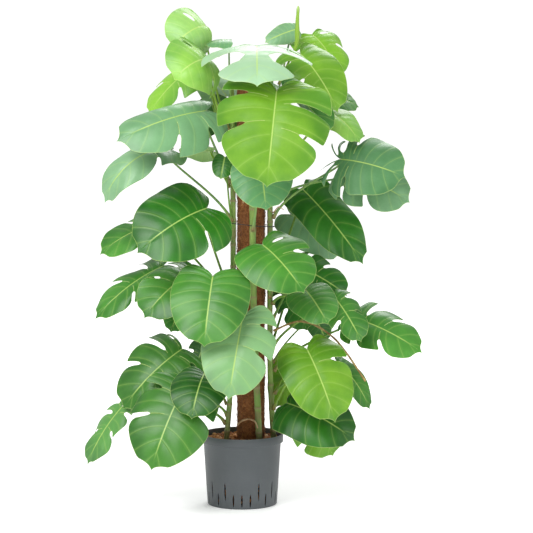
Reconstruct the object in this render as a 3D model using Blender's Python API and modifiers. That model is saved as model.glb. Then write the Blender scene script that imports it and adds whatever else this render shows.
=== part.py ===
"""A potted monstera plant: grey slotted pot, clay granules, coir pole, three climbing stems and their leaves.

Metres, +Z up, the viewer's side is -Y. The origin is the centre of the pot's flat underside.
Each leaf is one closed body: blade, midrib and petiole grew as one piece.
"""
import math
import random

import bmesh
import bpy
import numpy as np
from mathutils import Vector

# Driving dimensions of the pot
POT_HEIGHT = 0.190
RIM_RADIUS = 0.110
RIM_BAND = 0.0215
WALL_TOP_RADIUS = 0.1035
BASE_RADIUS = 0.0930
WALL = 0.0022
FLOOR = 0.0030
SLOTS = 26
SLOT_WIDTH = 0.0036
GRANULE_TOP = 0.179
FIT_GAP = 0.0005

# Driving dimensions of the pole and the stems
POLE_X = 0.024
POLE_RADIUS = 0.0375
POLE_TOP = 1.180
CORE_RADIUS = 0.013
BLADE = 0.0012

# Half of a heart-shaped blade of length 1: (to the side, along the midrib)
HEART = ((0.000, 0.000), (0.090, -0.120), (0.240, -0.185), (0.400, -0.120), (0.500, 0.050),
         (0.515, 0.290), (0.475, 0.530), (0.375, 0.750), (0.205, 0.912), (0.000, 1.000))
FAN = 0.30          # share of the margin whose veins all leave the petiole's end
BOW = 0.16          # how far a side vein bows towards the base
ROWS = 4            # mesh rows from the midrib to the margin
COLUMN_STEP = 0.24  # mesh columns along the margin
STALK_STEPS = 6     # straight runs in a petiole

# Courses of the three stems: points from the granules up
STEMS = {
    "left": ((-0.042, -0.028, 0.165), (-0.030, -0.034, 0.330), (-0.0235, -0.034, 0.560),
             (-0.0225, -0.032, 0.800), (-0.024, -0.026, 1.000), (-0.026, -0.022, 1.145)),
    "centre": ((0.046, -0.052, 0.165), (0.038, -0.052, 0.330), (0.030, -0.0515, 0.560),
               (0.028, -0.0515, 0.800), (0.032, -0.0515, 1.000), (0.036, -0.0505, 1.150)),
    "right": ((0.084, -0.016, 0.165), (0.075, -0.018, 0.330), (0.0735, -0.020, 0.560),
              (0.0735, -0.018, 0.800), (0.074, -0.014, 1.000), (0.078, -0.010, 1.165)),
}
STEM_RADII = {"left": 0.0072, "centre": 0.0085, "right": 0.0075}

# Cuts of one half of a blade: (place along the margin, inner end, outer end, half width in metres)
ENTIRE = ()
ONE = ((0.56, 0.50, 1.0, 0.006),)
TWO = ((0.46, 0.50, 1.0, 0.006), (0.66, 0.50, 1.0, 0.006))
THREE = ((0.36, 0.50, 1.0, 0.005), (0.52, 0.25, 1.0, 0.006), (0.70, 0.50, 1.0, 0.006))
FOUR = ((0.30, 0.50, 1.0, 0.005), (0.44, 0.25, 1.0, 0.005), (0.58, 0.25, 1.0, 0.006), (0.73, 0.50, 1.0, 0.005))
HOLE = ((0.56, 0.25, 0.75, 0.006),)
FAR = ((0.34, 0.50, 1.0, 0.010), (0.56, 0.25, 1.0, 0.010))
SPLIT = ((0.32, 0.50, 1.0, 0.008), (0.50, 0.25, 1.0, 0.008), (0.68, 0.50, 0.75, 0.006))
FINGERS = ((0.26, 0.25, 1.0, 0.007), (0.38, 0.25, 1.0, 0.008), (0.52, 0.50, 1.0, 0.006))
HOLE_CUT = ((0.44, 0.25, 0.75, 0.005), (0.64, 0.50, 1.0, 0.006))


class Leaf:
    """One leaf: where its petiole leaves a stem, where the blade hangs, which way it faces, how it bends."""

    def __init__(self, name, stem, root, attach, tip, face, width, right=ENTIRE, left=ENTIRE,
                 droop=0.6, fold=0.10, sag=(0.5, 0.5), ears=1.0, rise=0.5, colour="mature",
                 stalk=0.0030):
        self.name, self.stem, self.root = name, stem, root
        self.attach, self.tip, self.face = Vector(attach), Vector(tip), Vector(face)
        self.width, self.right, self.left = width, right, left
        self.droop, self.fold, self.sag, self.ears = droop, fold, sag, ears
        self.rise, self.colour, self.stalk = rise, colour, stalk


LEAVES = (
    Leaf("leaf_crown_tip_left", "left", 1.00, (-0.092, 0.0, 1.275), (-0.178, -0.04, 1.215), (-0.3, -0.9, 0.3),
         0.165, HOLE, ENTIRE, droop=1.7, sag=(0.3, 2.2), ears=0.3, rise=1.5, colour="young", stalk=0.0026),
    Leaf("leaf_crown_left", "left", 0.96, (-0.078, -0.085, 1.185), (-0.17, -0.15, 1.135), (-0.3, -0.9, 0.35),
         0.195, ONE, ONE, droop=1.7, sag=(0.3, 1.7), ears=0.4, rise=0.9, colour="young"),
    Leaf("leaf_crown_left_hanging", "left", 0.92, (-0.11, 0.065, 1.175), (-0.248, 0.02, 1.035), (-0.6, -0.6, 0.5),
         0.150, FOUR, THREE, droop=0.7, sag=(0.5, 0.4), ears=0.6, colour="young"),
    Leaf("leaf_upper_left_dark", "left", 0.88, (-0.09, 0.07, 1.045), (-0.12, 0.1, 1.135), (-0.1, -0.85, 0.5),
         0.120, ONE, ENTIRE, droop=0.2, ears=0.8, rise=0.6, colour="deep"),
    Leaf("leaf_crown_front", "centre", 1.02, (0.04, -0.12, 1.222), (0.042, -0.28, 1.12), (0.0, -0.6, 0.8),
         0.290, FAR, SPLIT, droop=0.9, sag=(0.7, 0.7), ears=0.6, colour="blue"),
    Leaf("leaf_crown_flat", "left", 1.06, (-0.03, -0.045, 1.235), (-0.095, -0.05, 1.22), (-0.1, -0.15, 1.0),
         0.090, ONE, ENTIRE, droop=0.7, sag=(0.4, 0.9), ears=0.5, colour="blue", stalk=0.0024),
    Leaf("leaf_crown_right_upright", "right", 1.06, (0.142, 0.02, 1.265), (0.06, 0.0, 1.23), (-0.3, -0.8, 0.45),
         0.058, ENTIRE, ENTIRE, droop=0.45, sag=(0.2, 1.2), ears=0.6, colour="blue", stalk=0.0026),
    Leaf("leaf_crown_right_fold", "right", 1.04, (0.185, 0.07, 1.252), (0.252, 0.04, 1.135), (0.35, -0.65, 0.65),
         0.175, ONE, HOLE_CUT, droop=1.0, sag=(0.5, 0.7), ears=0.5, colour="young"),
    Leaf("leaf_crown_right_hanging", "right", 0.98, (0.155, -0.035, 1.2), (0.25, -0.11, 1.05), (0.25, -0.8, 0.5),
         0.160, TWO, ENTIRE, droop=0.7, sag=(0.5, 0.5), colour="young"),
    Leaf("leaf_right_of_centre", "right", 0.94, (0.115, -0.155, 1.11), (0.225, -0.2, 0.995), (0.55, -0.5, 0.65),
         0.130, ENTIRE, ENTIRE, droop=0.7, fold=0.5, colour="mature"),
    Leaf("leaf_centre_large", "centre", 0.92, (0.09, -0.225, 1.105), (0.065, -0.31, 0.865), (0.02, -0.93, 0.35),
         0.285, TWO, THREE, droop=0.9, sag=(0.35, 0.35), colour="young"),
    Leaf("leaf_left_large", "left", 0.86, (-0.092, -0.09, 1.052), (-0.318, -0.17, 0.975), (-0.1, -0.82, 0.5),
         0.215, ENTIRE, TWO, droop=0.7, sag=(1.9, 0.5), colour="blue"),
    Leaf("leaf_left_drooping", "left", 0.77, (-0.195, -0.03, 0.955), (-0.358, -0.08, 0.815), (-0.3, -0.75, 0.6),
         0.120, ONE, ONE, droop=1.9, sag=(0.8, 0.5), colour="blue"),
    Leaf("leaf_right_pale", "right", 0.86, (0.215, -0.06, 1.055), (0.305, -0.12, 0.970), (0.3, -0.55, 0.75),
         0.110, ENTIRE, ENTIRE, droop=0.9, sag=(0.6, 0.5), colour="young"),
    Leaf("leaf_right_large", "right", 0.77, (0.256, -0.12, 0.93), (0.42, -0.16, 0.885), (0.1, -0.8, 0.6),
         0.205, FINGERS, FINGERS, droop=0.6, sag=(0.5, 0.5), ears=1.3, colour="blue"),
    Leaf("leaf_right_large_low", "right", 0.8, (0.272, -0.08, 0.885), (0.435, -0.12, 0.81), (0.1, -0.85, 0.5),
         0.165, TWO, ENTIRE, droop=0.8, colour="blue"),
    Leaf("leaf_left_under", "left", 0.85, (-0.075, -0.005, 0.945), (-0.165, 0.03, 0.935), (0.1, 0.5, 0.85),
         0.100, ENTIRE, ENTIRE, droop=0.5, colour="young"),
    Leaf("leaf_left_small_dark", "left", 0.76, (-0.045, -0.07, 0.930), (-0.055, -0.10, 0.875), (0.0, -0.8, 0.6),
         0.060, ENTIRE, ENTIRE, droop=0.5, colour="deep", stalk=0.0022),
    Leaf("leaf_right_behind", "right", 0.92, (0.200, 0.08, 1.095), (0.310, 0.10, 1.060), (0.2, -0.5, 0.85),
         0.120, ONE, ONE, droop=0.6, ears=0.4, colour="mature"),
    Leaf("leaf_left_mid_large", "left", 0.56, (-0.095, -0.10, 0.805), (-0.270, -0.18, 0.695), (-0.25, -0.88, 0.4),
         0.235, ENTIRE, ONE, droop=0.9, sag=(0.5, 0.5), colour="deep"),
    Leaf("leaf_left_mid_behind", "left", 0.54, (-0.195, 0.03, 0.755), (-0.375, 0.00, 0.670), (-0.2, -0.5, 0.85),
         0.150, TWO, TWO, droop=0.8, colour="mature"),
    Leaf("leaf_left_long", "left", 0.46, (-0.21, 0.02, 0.64), (-0.385, -0.04, 0.505), (-0.5, -0.6, 0.6),
         0.135, THREE, THREE, droop=0.6, ears=0.8, colour="mature"),
    Leaf("leaf_left_low_split", "left", 0.4, (-0.13, -0.05, 0.625), (-0.255, -0.14, 0.515), (-0.2, -0.75, 0.6),
         0.180, TWO, THREE, droop=0.9, ears=0.7, colour="mature"),
    Leaf("leaf_big_round", "left", 0.50, (-0.075, -0.20, 0.630), (-0.095, -0.29, 0.460), (-0.05, -0.88, 0.48),
         0.202, ENTIRE, ENTIRE, droop=0.5, sag=(0.4, 0.4), colour="mature"),
    Leaf("leaf_left_low_dark", "left", 0.36, (-0.145, -0.01, 0.555), (-0.185, -0.04, 0.465), (-0.2, -0.85, 0.5),
         0.090, ENTIRE, ENTIRE, droop=0.56, ears=0.6, colour="deep"),
    Leaf("leaf_centre_mid", "right", 0.56, (0.055, -0.15, 0.710), (0.160, -0.25, 0.595), (0.1, -0.75, 0.6),
         0.190, ENTIRE, HOLE_CUT, droop=0.7, colour="mature"),
    Leaf("leaf_right_back_grey", "right", 0.60, (0.130, 0.05, 0.770), (0.265, 0.07, 0.660), (0.2, -0.7, 0.65),
         0.150, ENTIRE, ONE, droop=0.6, colour="blue"),
    Leaf("leaf_right_mid_dark", "right", 0.6, (0.165, 0.0, 0.84), (0.32, -0.08, 0.65), (0.2, -0.85, 0.45),
         0.140, ENTIRE, ENTIRE, droop=0.5, sag=(0.4, 0.4), ears=0.5, colour="deep"),
    Leaf("leaf_right_mid_lobes", "right", 0.50, (0.145, -0.035, 0.64), (0.275, -0.06, 0.565), (0.1, -0.75, 0.6),
         0.130, THREE, TWO, droop=0.6, colour="deep"),
    Leaf("leaf_low_right_dark", "right", 0.44, (0.125, 0.02, 0.575), (0.17, 0.0, 0.465), (0.0, -0.85, 0.5),
         0.110, TWO, ENTIRE, droop=0.5, colour="deep"),
    Leaf("leaf_low_right_front", "right", 0.54, (0.165, -0.11, 0.585), (0.220, -0.19, 0.505), (0.1, -0.85, 0.5),
         0.125, ENTIRE, ENTIRE, droop=0.6, colour="mature"),
    Leaf("leaf_hanging_pale", "right", 0.42, (0.243, -0.115, 0.565), (0.31, -0.165, 0.455), (0.3, -0.8, 0.5),
         0.110, THREE, TWO, droop=0.5, colour="mature"),
    Leaf("leaf_far_right_split", "right", 0.36, (0.29, -0.03, 0.505), (0.470, -0.10, 0.420), (0.15, -0.75, 0.65),
         0.155, THREE, THREE, droop=0.6, ears=0.5, colour="mature"),
    Leaf("leaf_centre_small", "centre", 0.74, (0.050, -0.12, 0.920), (0.065, -0.19, 0.800), (0.0, -0.8, 0.6),
         0.160, ENTIRE, ENTIRE, droop=0.7, colour="blue"),
    Leaf("leaf_low_left_back", "left", 0.30, (-0.165, -0.02, 0.415), (-0.32, -0.06, 0.26), (-0.3, -0.8, 0.5),
         0.200, THREE, TWO, droop=0.76, ears=0.4, rise=0.7, colour="mature"),
    Leaf("leaf_low_left_large", "left", 0.24, (-0.155, -0.13, 0.325), (-0.235, -0.21, 0.125), (-0.2, -0.88, 0.42),
         0.220, TWO, ONE, droop=0.6, colour="mature"),
    Leaf("leaf_low_left_inner", "left", 0.27, (-0.100, 0.01, 0.420), (-0.135, 0.00, 0.330), (-0.1, -0.85, 0.5),
         0.080, ONE, ENTIRE, droop=0.5, colour="deep", stalk=0.0024),
    Leaf("leaf_low_mid_dark", "left", 0.30, (-0.100, -0.13, 0.370), (-0.13, -0.22, 0.265), (-0.1, -0.75, 0.65),
         0.155, ENTIRE, ENTIRE, droop=0.9, colour="deep"),
    Leaf("leaf_low_centre", "centre", 0.36, (0.005, -0.20, 0.525), (-0.030, -0.29, 0.325), (0.0, -0.9, 0.45),
         0.190, ONE, TWO, droop=0.5, colour="mature"),
    Leaf("leaf_far_left_low", "left", 0.22, (-0.320, -0.03, 0.265), (-0.410, -0.06, 0.115), (-0.6, -0.6, 0.5),
         0.100, THREE, TWO, droop=0.5, ears=0.6, colour="mature"),
    Leaf("leaf_low_right_main", "right", 0.26, (0.170, -0.15, 0.435), (0.240, -0.24, 0.260), (0.1, -0.85, 0.5),
         0.180, ENTIRE, ONE, droop=0.7, colour="young"),
    Leaf("leaf_low_right_round", "right", 0.23, (0.120, -0.10, 0.290), (0.295, -0.16, 0.200), (0.1, -0.8, 0.6),
         0.175, ENTIRE, ENTIRE, droop=0.8, sag=(0.5, 0.6), ears=0.4, colour="deep"),
    Leaf("leaf_low_right_under", "right", 0.21, (0.180, -0.03, 0.240), (0.240, -0.04, 0.135), (0.1, -0.75, 0.6),
         0.150, TWO, TWO, droop=0.5, colour="young"),
    Leaf("leaf_right_back_pale", "right", 0.28, (0.150, 0.05, 0.385), (0.095, 0.03, 0.255), (0.15, -0.8, 0.5),
         0.110, ENTIRE, ONE, droop=0.7, sag=(0.4, 0.6), ears=0.8, rise=0.5, colour="young"),
    Leaf("leaf_right_narrow", "right", 0.30, (0.250, -0.02, 0.385), (0.335, -0.05, 0.262), (0.5, -0.6, 0.5),
         0.090, ONE, ENTIRE, droop=0.7, colour="mature"),
    Leaf("leaf_right_low_tip", "right", 0.38, (0.19, 0.05, 0.5), (0.222, 0.04, 0.43), (0.1, -0.8, 0.55),
         0.070, ENTIRE, ENTIRE, droop=0.5, colour="deep", stalk=0.0022),
    Leaf("leaf_crown_back_pale", "left", 0.94, (-0.04, 0.1, 1.09), (-0.100, 0.15, 1.145), (0.0, -0.4, 0.9),
         0.130, ENTIRE, ENTIRE, droop=0.5, colour="blue"),
)


def heart_point(place):
    """Point of the margin, by a smooth curve through HEART; place runs from the sinus to the tip."""
    last = len(HEART) - 1
    at = min(max(place, 0.0), 1.0) * last
    i = min(int(at), last - 1)
    t = at - i
    a, b, c, d = (np.array(HEART[min(max(k, 0), last)]) for k in (i - 1, i, i + 1, i + 2))
    return 0.5 * (2 * b + (c - a) * t + (2 * a - 5 * b + 4 * c - d) * t * t + (3 * b - a - 3 * c + d) * t ** 3)


def vein_point(place, out):
    """Point on the side vein that reaches the margin at this place, out of 1, in blade lengths."""
    start = np.array((0.0, 0.92 * max(0.0, (place - FAN) / (1 - FAN)) ** 1.45))
    end = heart_point(place)
    reach = end - start
    bend = start + 0.5 * reach + BOW * min(1.0, 4 * (1 - place)) * np.array((reach[1], -reach[0]))
    return (1 - out) ** 2 * start + 2 * out * (1 - out) * bend + out * out * end


class Blade:
    """Bends the flat heart of one leaf into space."""

    def __init__(self, leaf):
        self.leaf = leaf
        along = leaf.tip - leaf.attach
        chord = along.length
        self.length = chord * leaf.droop / 2 / math.sin(leaf.droop / 2)
        self.curve = leaf.droop / self.length
        along.normalize()
        face = (leaf.face - along * leaf.face.dot(along)).normalized()
        side = along.cross(face)
        tilt = leaf.droop / 2
        self.along = along * math.cos(tilt) + face * math.sin(tilt)
        self.face = face * math.cos(tilt) - along * math.sin(tilt)
        self.side = side

    def at(self, sign, u, v, lift):
        """World point of the blade: u to the side and v along the midrib in metres, lift along the face."""
        leaf = self.leaf
        if v > 0:
            bend = self.curve * v
            run, drop = math.sin(bend) / self.curve, (1 - math.cos(bend)) / self.curve
        else:
            bend = self.curve * 0.4 * v
            run, drop = v * math.cos(bend), v * math.sin(bend)
        half = leaf.width / 2
        sag = leaf.sag[0] if sign > 0 else leaf.sag[1]
        lean = leaf.fold - 0.5 * sag * u / half
        normal = self.face * math.cos(bend) + self.along * math.sin(bend)
        centre = leaf.attach + self.along * run - self.face * drop
        across = self.side * sign * math.cos(lean) + normal * math.sin(lean)
        return centre + across * u + normal * lift * math.cos(lean)


def columns_of(leaf):
    """Places along the margin where the mesh has a column: every cut of either half, and points between."""
    places = sorted({0.0, 1.0} | {cut[0] for cut in leaf.right + leaf.left})
    columns = [0.0]
    for low, high in zip(places, places[1:]):
        steps = max(1, round((high - low) / COLUMN_STEP))
        columns += [low + (high - low) * k / steps for k in range(1, steps + 1)]
    return columns


def blade_mesh(leaf):
    """A sheet of strips between the side cuts, welded wherever two neighbours still touch."""
    blade = Blade(leaf)
    stretch = leaf.width / 1.01
    mesh = bmesh.new()
    columns = columns_of(leaf)
    for sign, cuts in ((1, leaf.right), (-1, leaf.left)):
        edges = [(0.0, 2.0, 1.0, 0.0)] + list(cuts) + [(1.0, 2.0, 1.0, 0.0)]
        for first, second in zip(edges, edges[1:]):
            places = [p for p in columns if first[0] <= p <= second[0]]
            made = bmesh.ops.create_grid(mesh, x_segments=len(places) - 1, y_segments=ROWS, size=1.0)
            for vertex in made["verts"]:
                index, out = round((vertex.co.x + 1) / 2 * (len(places) - 1)), (vertex.co.y + 1) / 2
                place = places[index]
                gap = corner = 0.0
                for cut, here, away in ((first, 0, 1), (second, len(places) - 1, -1)):
                    opened = cut[1] < out - 0.01 and (out < cut[2] - 0.01 or cut[2] >= 1)
                    if index == here and opened:
                        gap = away * cut[3]
                        corner = 0.06 if out > 0.99 else 0.0
                flat = vein_point(place, out - corner)
                if gap:
                    ahead = vein_point(place + 0.01, out - corner) - vein_point(place - 0.01, out - corner)
                    size = float(np.hypot(ahead[0] * stretch, ahead[1] * blade.length))
                    flat = vein_point(place + gap * 0.02 / max(size, 0.0005), out - corner)
                along = flat[1] * (leaf.ears if flat[1] < 0 else 1.0) * blade.length
                vertex.co = blade.at(sign, flat[0] * stretch, along, 0.0)
    bmesh.ops.remove_doubles(mesh, verts=mesh.verts, dist=2e-5)
    bmesh.ops.recalc_face_normals(mesh, faces=mesh.faces)
    return mesh, blade


def collection(name):
    made = bpy.data.collections.new(name)
    bpy.context.scene.collection.children.link(made)
    return made


def clear_scene():
    for old in list(bpy.data.objects):
        bpy.data.objects.remove(old)


def material(name, colour, roughness):
    made = bpy.data.materials.new(name)
    made.use_nodes = True
    shader = made.node_tree.nodes["Principled BSDF"]
    shader.inputs["Base Color"].default_value = (*colour, 1.0)
    shader.inputs["Roughness"].default_value = roughness
    made.diffuse_color = (*colour, 1.0)
    return made


LOOKS = {
    "young": ((0.190, 0.420, 0.030), 0.35),
    "mature": ((0.070, 0.270, 0.030), 0.35),
    "deep": ((0.025, 0.150, 0.020), 0.35),
    "blue": ((0.120, 0.300, 0.120), 0.35),
    "stem": ((0.100, 0.200, 0.020), 0.50),
    "pot": ((0.130, 0.150, 0.165), 0.50),
    "granules": ((0.270, 0.090, 0.040), 0.90),
    "coir": ((0.160, 0.060, 0.025), 0.95),
    "core": ((0.250, 0.160, 0.090), 0.80),
    "tie": ((0.010, 0.010, 0.010), 0.60),
    "root": ((0.330, 0.190, 0.090), 0.80),
    "cut": ((0.260, 0.160, 0.050), 0.70),
}


def add_object(name, mesh, look, home):
    made = bpy.data.objects.new(name, mesh)
    home.objects.link(made)
    mesh.materials.clear()
    mesh.materials.append(material(name, *LOOKS[look]))
    return made


def baked(obj):
    """The object's mesh with its modifiers, or a curve's with its caps welded."""
    bpy.context.view_layer.update()
    graph = bpy.context.evaluated_depsgraph_get()
    mesh = bpy.data.meshes.new_from_object(obj.evaluated_get(graph))
    fix = bmesh.new()
    fix.from_mesh(mesh)
    bmesh.ops.remove_doubles(fix, verts=fix.verts, dist=1e-6)
    bmesh.ops.recalc_face_normals(fix, faces=fix.faces)
    fix.to_mesh(mesh)
    fix.free()
    return mesh


def tube(name, points, radii, sides=6):
    """Closed tube through the points, as a mesh, drawn as a bevelled curve with filled caps."""
    data = bpy.data.curves.new(name, "CURVE")
    data.dimensions = "3D"
    data.bevel_depth = 1.0
    data.bevel_resolution = sides // 2 - 2
    data.use_fill_caps = True
    data.resolution_u = 1
    spline = data.splines.new("POLY")
    spline.points.add(len(points) - 1)
    for point, place, radius in zip(spline.points, points, radii):
        point.co = (*place, 1.0)
        point.radius = radius
    drawn = bpy.data.objects.new(name, data)
    bpy.context.scene.collection.objects.link(drawn)
    mesh = baked(drawn)
    bpy.data.objects.remove(drawn)
    bpy.data.curves.remove(data)
    return mesh


def smooth_course(points, count):
    """Evenly numbered points of a smooth curve through the given ones."""
    course = []
    last = len(points) - 1
    for k in range(count):
        at = last * k / (count - 1)
        i = min(int(at), last - 1)
        t = at - i
        a, b, c, d = (np.array(points[min(max(j, 0), last)]) for j in (i - 1, i, i + 1, i + 2))
        course.append(0.5 * (2 * b + (c - a) * t + (2 * a - 5 * b + 4 * c - d) * t * t
                             + (3 * b - a - 3 * c + d) * t ** 3))
    return [Vector(p) for p in course]


def stem_at(stem, height):
    """Point on the axis of a stem at this height."""
    points = STEMS[stem]
    for low, high in zip(points, points[1:]):
        if height <= high[2] or high is points[-1]:
            share = (height - low[2]) / (high[2] - low[2])
            return Vector(low).lerp(Vector(high), share)


def petiole_course(leaf, blade, steps):
    """From just off the stem, up and out, to a point just through the blade near its base."""
    axis = stem_at(leaf.stem, leaf.root)
    out = Vector((leaf.attach.x - axis.x, leaf.attach.y - axis.y, 0.0)).normalized()
    start = axis + out * (STEM_RADII[leaf.stem] * 1.06 + leaf.stalk * 1.3 + FIT_GAP)
    end = blade.at(1, 0.0, 0.07 * blade.length, 0.0022)
    span = (end - start).length
    leave = (out * 0.5 + Vector((0, 0, 1.0))) * span * 0.9
    arrive = (blade.face * 0.75 + out * 0.3 + Vector((0, 0, 0.4 - leaf.rise))) * span * 0.8
    course = []
    for k in range(steps + 1):
        t = k / steps
        course.append((2 * t ** 3 - 3 * t * t + 1) * start + (t ** 3 - 2 * t * t + t) * leave
                      + (3 * t * t - 2 * t ** 3) * end + (t ** 3 - t * t) * arrive)
    return course


def add_leaf(leaf, home, tools):
    mesh, blade = blade_mesh(leaf)
    data = bpy.data.meshes.new(leaf.name)
    mesh.to_mesh(data)
    mesh.free()
    made = add_object(leaf.name, data, leaf.colour, home)
    thick = made.modifiers.new("thickness", "SOLIDIFY")
    thick.thickness = BLADE
    thick.offset = 0.0
    points = petiole_course(leaf, blade, STALK_STEPS)
    radii = [leaf.stalk * (1.30 - 0.4 * k / STALK_STEPS) for k in range(STALK_STEPS + 1)]
    petiole = bpy.data.objects.new(leaf.name + "_petiole", tube(leaf.name, points, radii))
    tools.objects.link(petiole)
    petiole.hide_render = True
    petiole.display_type = "WIRE"
    join = made.modifiers.new("petiole", "BOOLEAN")
    join.operation, join.solver, join.object = "UNION", "EXACT", petiole


def turned(name, profile, steps):
    """Mesh of a profile of (radius, height) points turned about Z."""
    data = bpy.data.meshes.new(name)
    data.from_pydata([(r, 0.0, z) for r, z in profile], [(i, i + 1) for i in range(len(profile) - 1)], [])
    shape = bpy.data.objects.new(name, data)
    bpy.context.scene.collection.objects.link(shape)
    screw = shape.modifiers.new("turn", "SCREW")
    screw.steps = screw.render_steps = steps
    screw.use_merge_vertices = True
    screw.merge_threshold = 0.00002
    screw.use_normal_calculate = True
    mesh = baked(shape)
    bpy.data.objects.remove(shape)
    return mesh


def add_pot(home, tools):
    under = POT_HEIGHT - RIM_BAND
    profile = ((0.0, 0.0), (BASE_RADIUS - 0.002, 0.0), (BASE_RADIUS, 0.002), (WALL_TOP_RADIUS, under),
               (RIM_RADIUS - 0.0006, under), (RIM_RADIUS, under + 0.001), (RIM_RADIUS, POT_HEIGHT - 0.001),
               (RIM_RADIUS - 0.0008, POT_HEIGHT), (RIM_RADIUS - 0.0024, POT_HEIGHT),
               (RIM_RADIUS - 0.0030, POT_HEIGHT - 0.001), (RIM_RADIUS - 0.0030, under + 0.004),
               (WALL_TOP_RADIUS - WALL, under - 0.003), (BASE_RADIUS - WALL, FLOOR), (0.0, FLOOR))
    pot = add_object("pot", turned("pot", profile, 52), "pot", home)
    # Water slots all round: every other one low, and the rest higher up the wall.
    cutters = bmesh.new()
    for k in range(SLOTS):
        angle = -math.pi / 2 + math.tau * k / SLOTS
        step = min(k, SLOTS - k)
        low = step in (0, 1) or step % 2 == 1
        bottom, top = (0.006, 0.040) if low else (0.022, 0.070)
        made = bmesh.ops.create_cube(cutters, size=1.0)["verts"]
        middle = (BASE_RADIUS + WALL_TOP_RADIUS) / 2
        for vertex in made:
            x, y, z = middle + vertex.co.x * 0.03, vertex.co.y * SLOT_WIDTH, (bottom + top) / 2
            z += vertex.co.z * (top - bottom)
            vertex.co = (x * math.cos(angle) - y * math.sin(angle), x * math.sin(angle) + y * math.cos(angle), z)
    data = bpy.data.meshes.new("slot_cutters")
    cutters.to_mesh(data)
    cutters.free()
    slots = bpy.data.objects.new("slot_cutters", data)
    tools.objects.link(slots)
    slots.hide_render = True
    slots.display_type = "WIRE"
    cut = pot.modifiers.new("slots", "BOOLEAN")
    cut.operation, cut.solver, cut.object = "DIFFERENCE", "EXACT", slots


def wall_radius(height):
    """Inner radius of the pot at this height, less the fit gap."""
    under = POT_HEIGHT - RIM_BAND
    share = min(max((height - 0.002) / (under - 0.002), 0.0), 1.0)
    return BASE_RADIUS + (WALL_TOP_RADIUS - BASE_RADIUS) * share - WALL - 0.0006


def add_granules(home, tools):
    """The fill of clay granules, lumpy on top, with the pole and the stems standing in it."""
    dice = random.Random(22)
    sides, rings = 30, 6
    mesh = bmesh.new()
    made = bmesh.ops.create_grid(mesh, x_segments=sides, y_segments=rings + 2, size=1.0)
    for vertex in made["verts"]:
        turn = (vertex.co.x + 1) * math.pi
        step = round((vertex.co.y + 1) / 2 * (rings + 2))
        if step == 0:
            radius, height = 0.0, FLOOR + FIT_GAP
        elif step == 1:
            radius, height = wall_radius(0.004), FLOOR + FIT_GAP
        elif step == 2:
            radius, height = wall_radius(0.165), 0.1655
        else:
            ring = rings + 2 - step
            radius, height = 0.101 * ring / (rings - 1), GRANULE_TOP
        vertex.co = (radius * math.cos(turn), radius * math.sin(turn), height)
    bmesh.ops.remove_doubles(mesh, verts=mesh.verts, dist=1e-6)
    for vertex in mesh.verts:
        if vertex.co.z > 0.17:
            vertex.co.z += dice.uniform(-0.004, 0.004)
            if vertex.co.xy.length < 0.095:
                vertex.co.x += dice.uniform(-0.003, 0.003)
                vertex.co.y += dice.uniform(-0.003, 0.003)
    bmesh.ops.recalc_face_normals(mesh, faces=mesh.faces)
    data = bpy.data.meshes.new("granules")
    mesh.to_mesh(data)
    mesh.free()
    fill = add_object("granules", data, "granules", home)
    bores = [("pole_bore", ((POLE_X, 0, 0.010), (POLE_X, 0, 0.3)), POLE_RADIUS + 0.0025, 20)]
    for stem, points in STEMS.items():
        foot, rise = Vector(points[0]), Vector(points[1]) - Vector(points[0])
        bores.append((stem + "_bore", (foot - rise * 0.07, foot + rise * 0.5), STEM_RADII[stem] + 0.0015, 8))
    for name, ends, radius, count in bores:
        bore = bpy.data.objects.new(name, tube(name, ends, (radius, radius), count))
        tools.objects.link(bore)
        bore.hide_render = True
        bore.display_type = "WIRE"
        cut = fill.modifiers.new(name, "BOOLEAN")
        cut.operation, cut.solver, cut.object = "DIFFERENCE", "EXACT", bore


def add_pole(home):
    """Coir-wrapped pole: an uneven cylinder, with the end of its wooden core standing out on top."""
    dice = random.Random(5)
    mesh = bmesh.new()
    sides, rings = 20, 14
    made = bmesh.ops.create_grid(mesh, x_segments=sides, y_segments=rings + 2, size=1.0)
    for vertex in made["verts"]:
        turn = (vertex.co.x + 1) * math.pi
        step = round((vertex.co.y + 1) / 2 * (rings + 2))
        ring = min(max(step - 1, 0), rings)
        height = 0.0105 + (POLE_TOP - 0.0105) * ring / rings
        wave = 0.0012 * math.sin(3 * turn + 0.9 * ring) + 0.0008 * math.sin(5 * turn - 1.7 * ring)
        radius = 0.0 if step in (0, rings + 2) else POLE_RADIUS + wave - 0.0015
        vertex.co = (POLE_X + radius * math.cos(turn), radius * math.sin(turn), height)
    bmesh.ops.remove_doubles(mesh, verts=mesh.verts, dist=1e-6)
    bmesh.ops.recalc_face_normals(mesh, faces=mesh.faces)
    data = bpy.data.meshes.new("coir_pole")
    mesh.to_mesh(data)
    mesh.free()
    add_object("coir_pole", data, "coir", home)
    ends = ((POLE_X, 0, POLE_TOP + 0.0004), (POLE_X, 0, POLE_TOP + 0.012))
    add_object("pole_core", tube("pole_core", ends, (CORE_RADIUS, CORE_RADIUS), 12), "core", home)


def add_stems(home):
    for stem, points in STEMS.items():
        course = smooth_course(points, 12)
        radius = STEM_RADII[stem]
        radii = [radius * (1.0 - 0.25 * max(0.0, k - 8) / 3) for k in range(12)]
        add_object("stem_" + stem, tube(stem, course, radii, 8), "stem", home)


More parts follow.
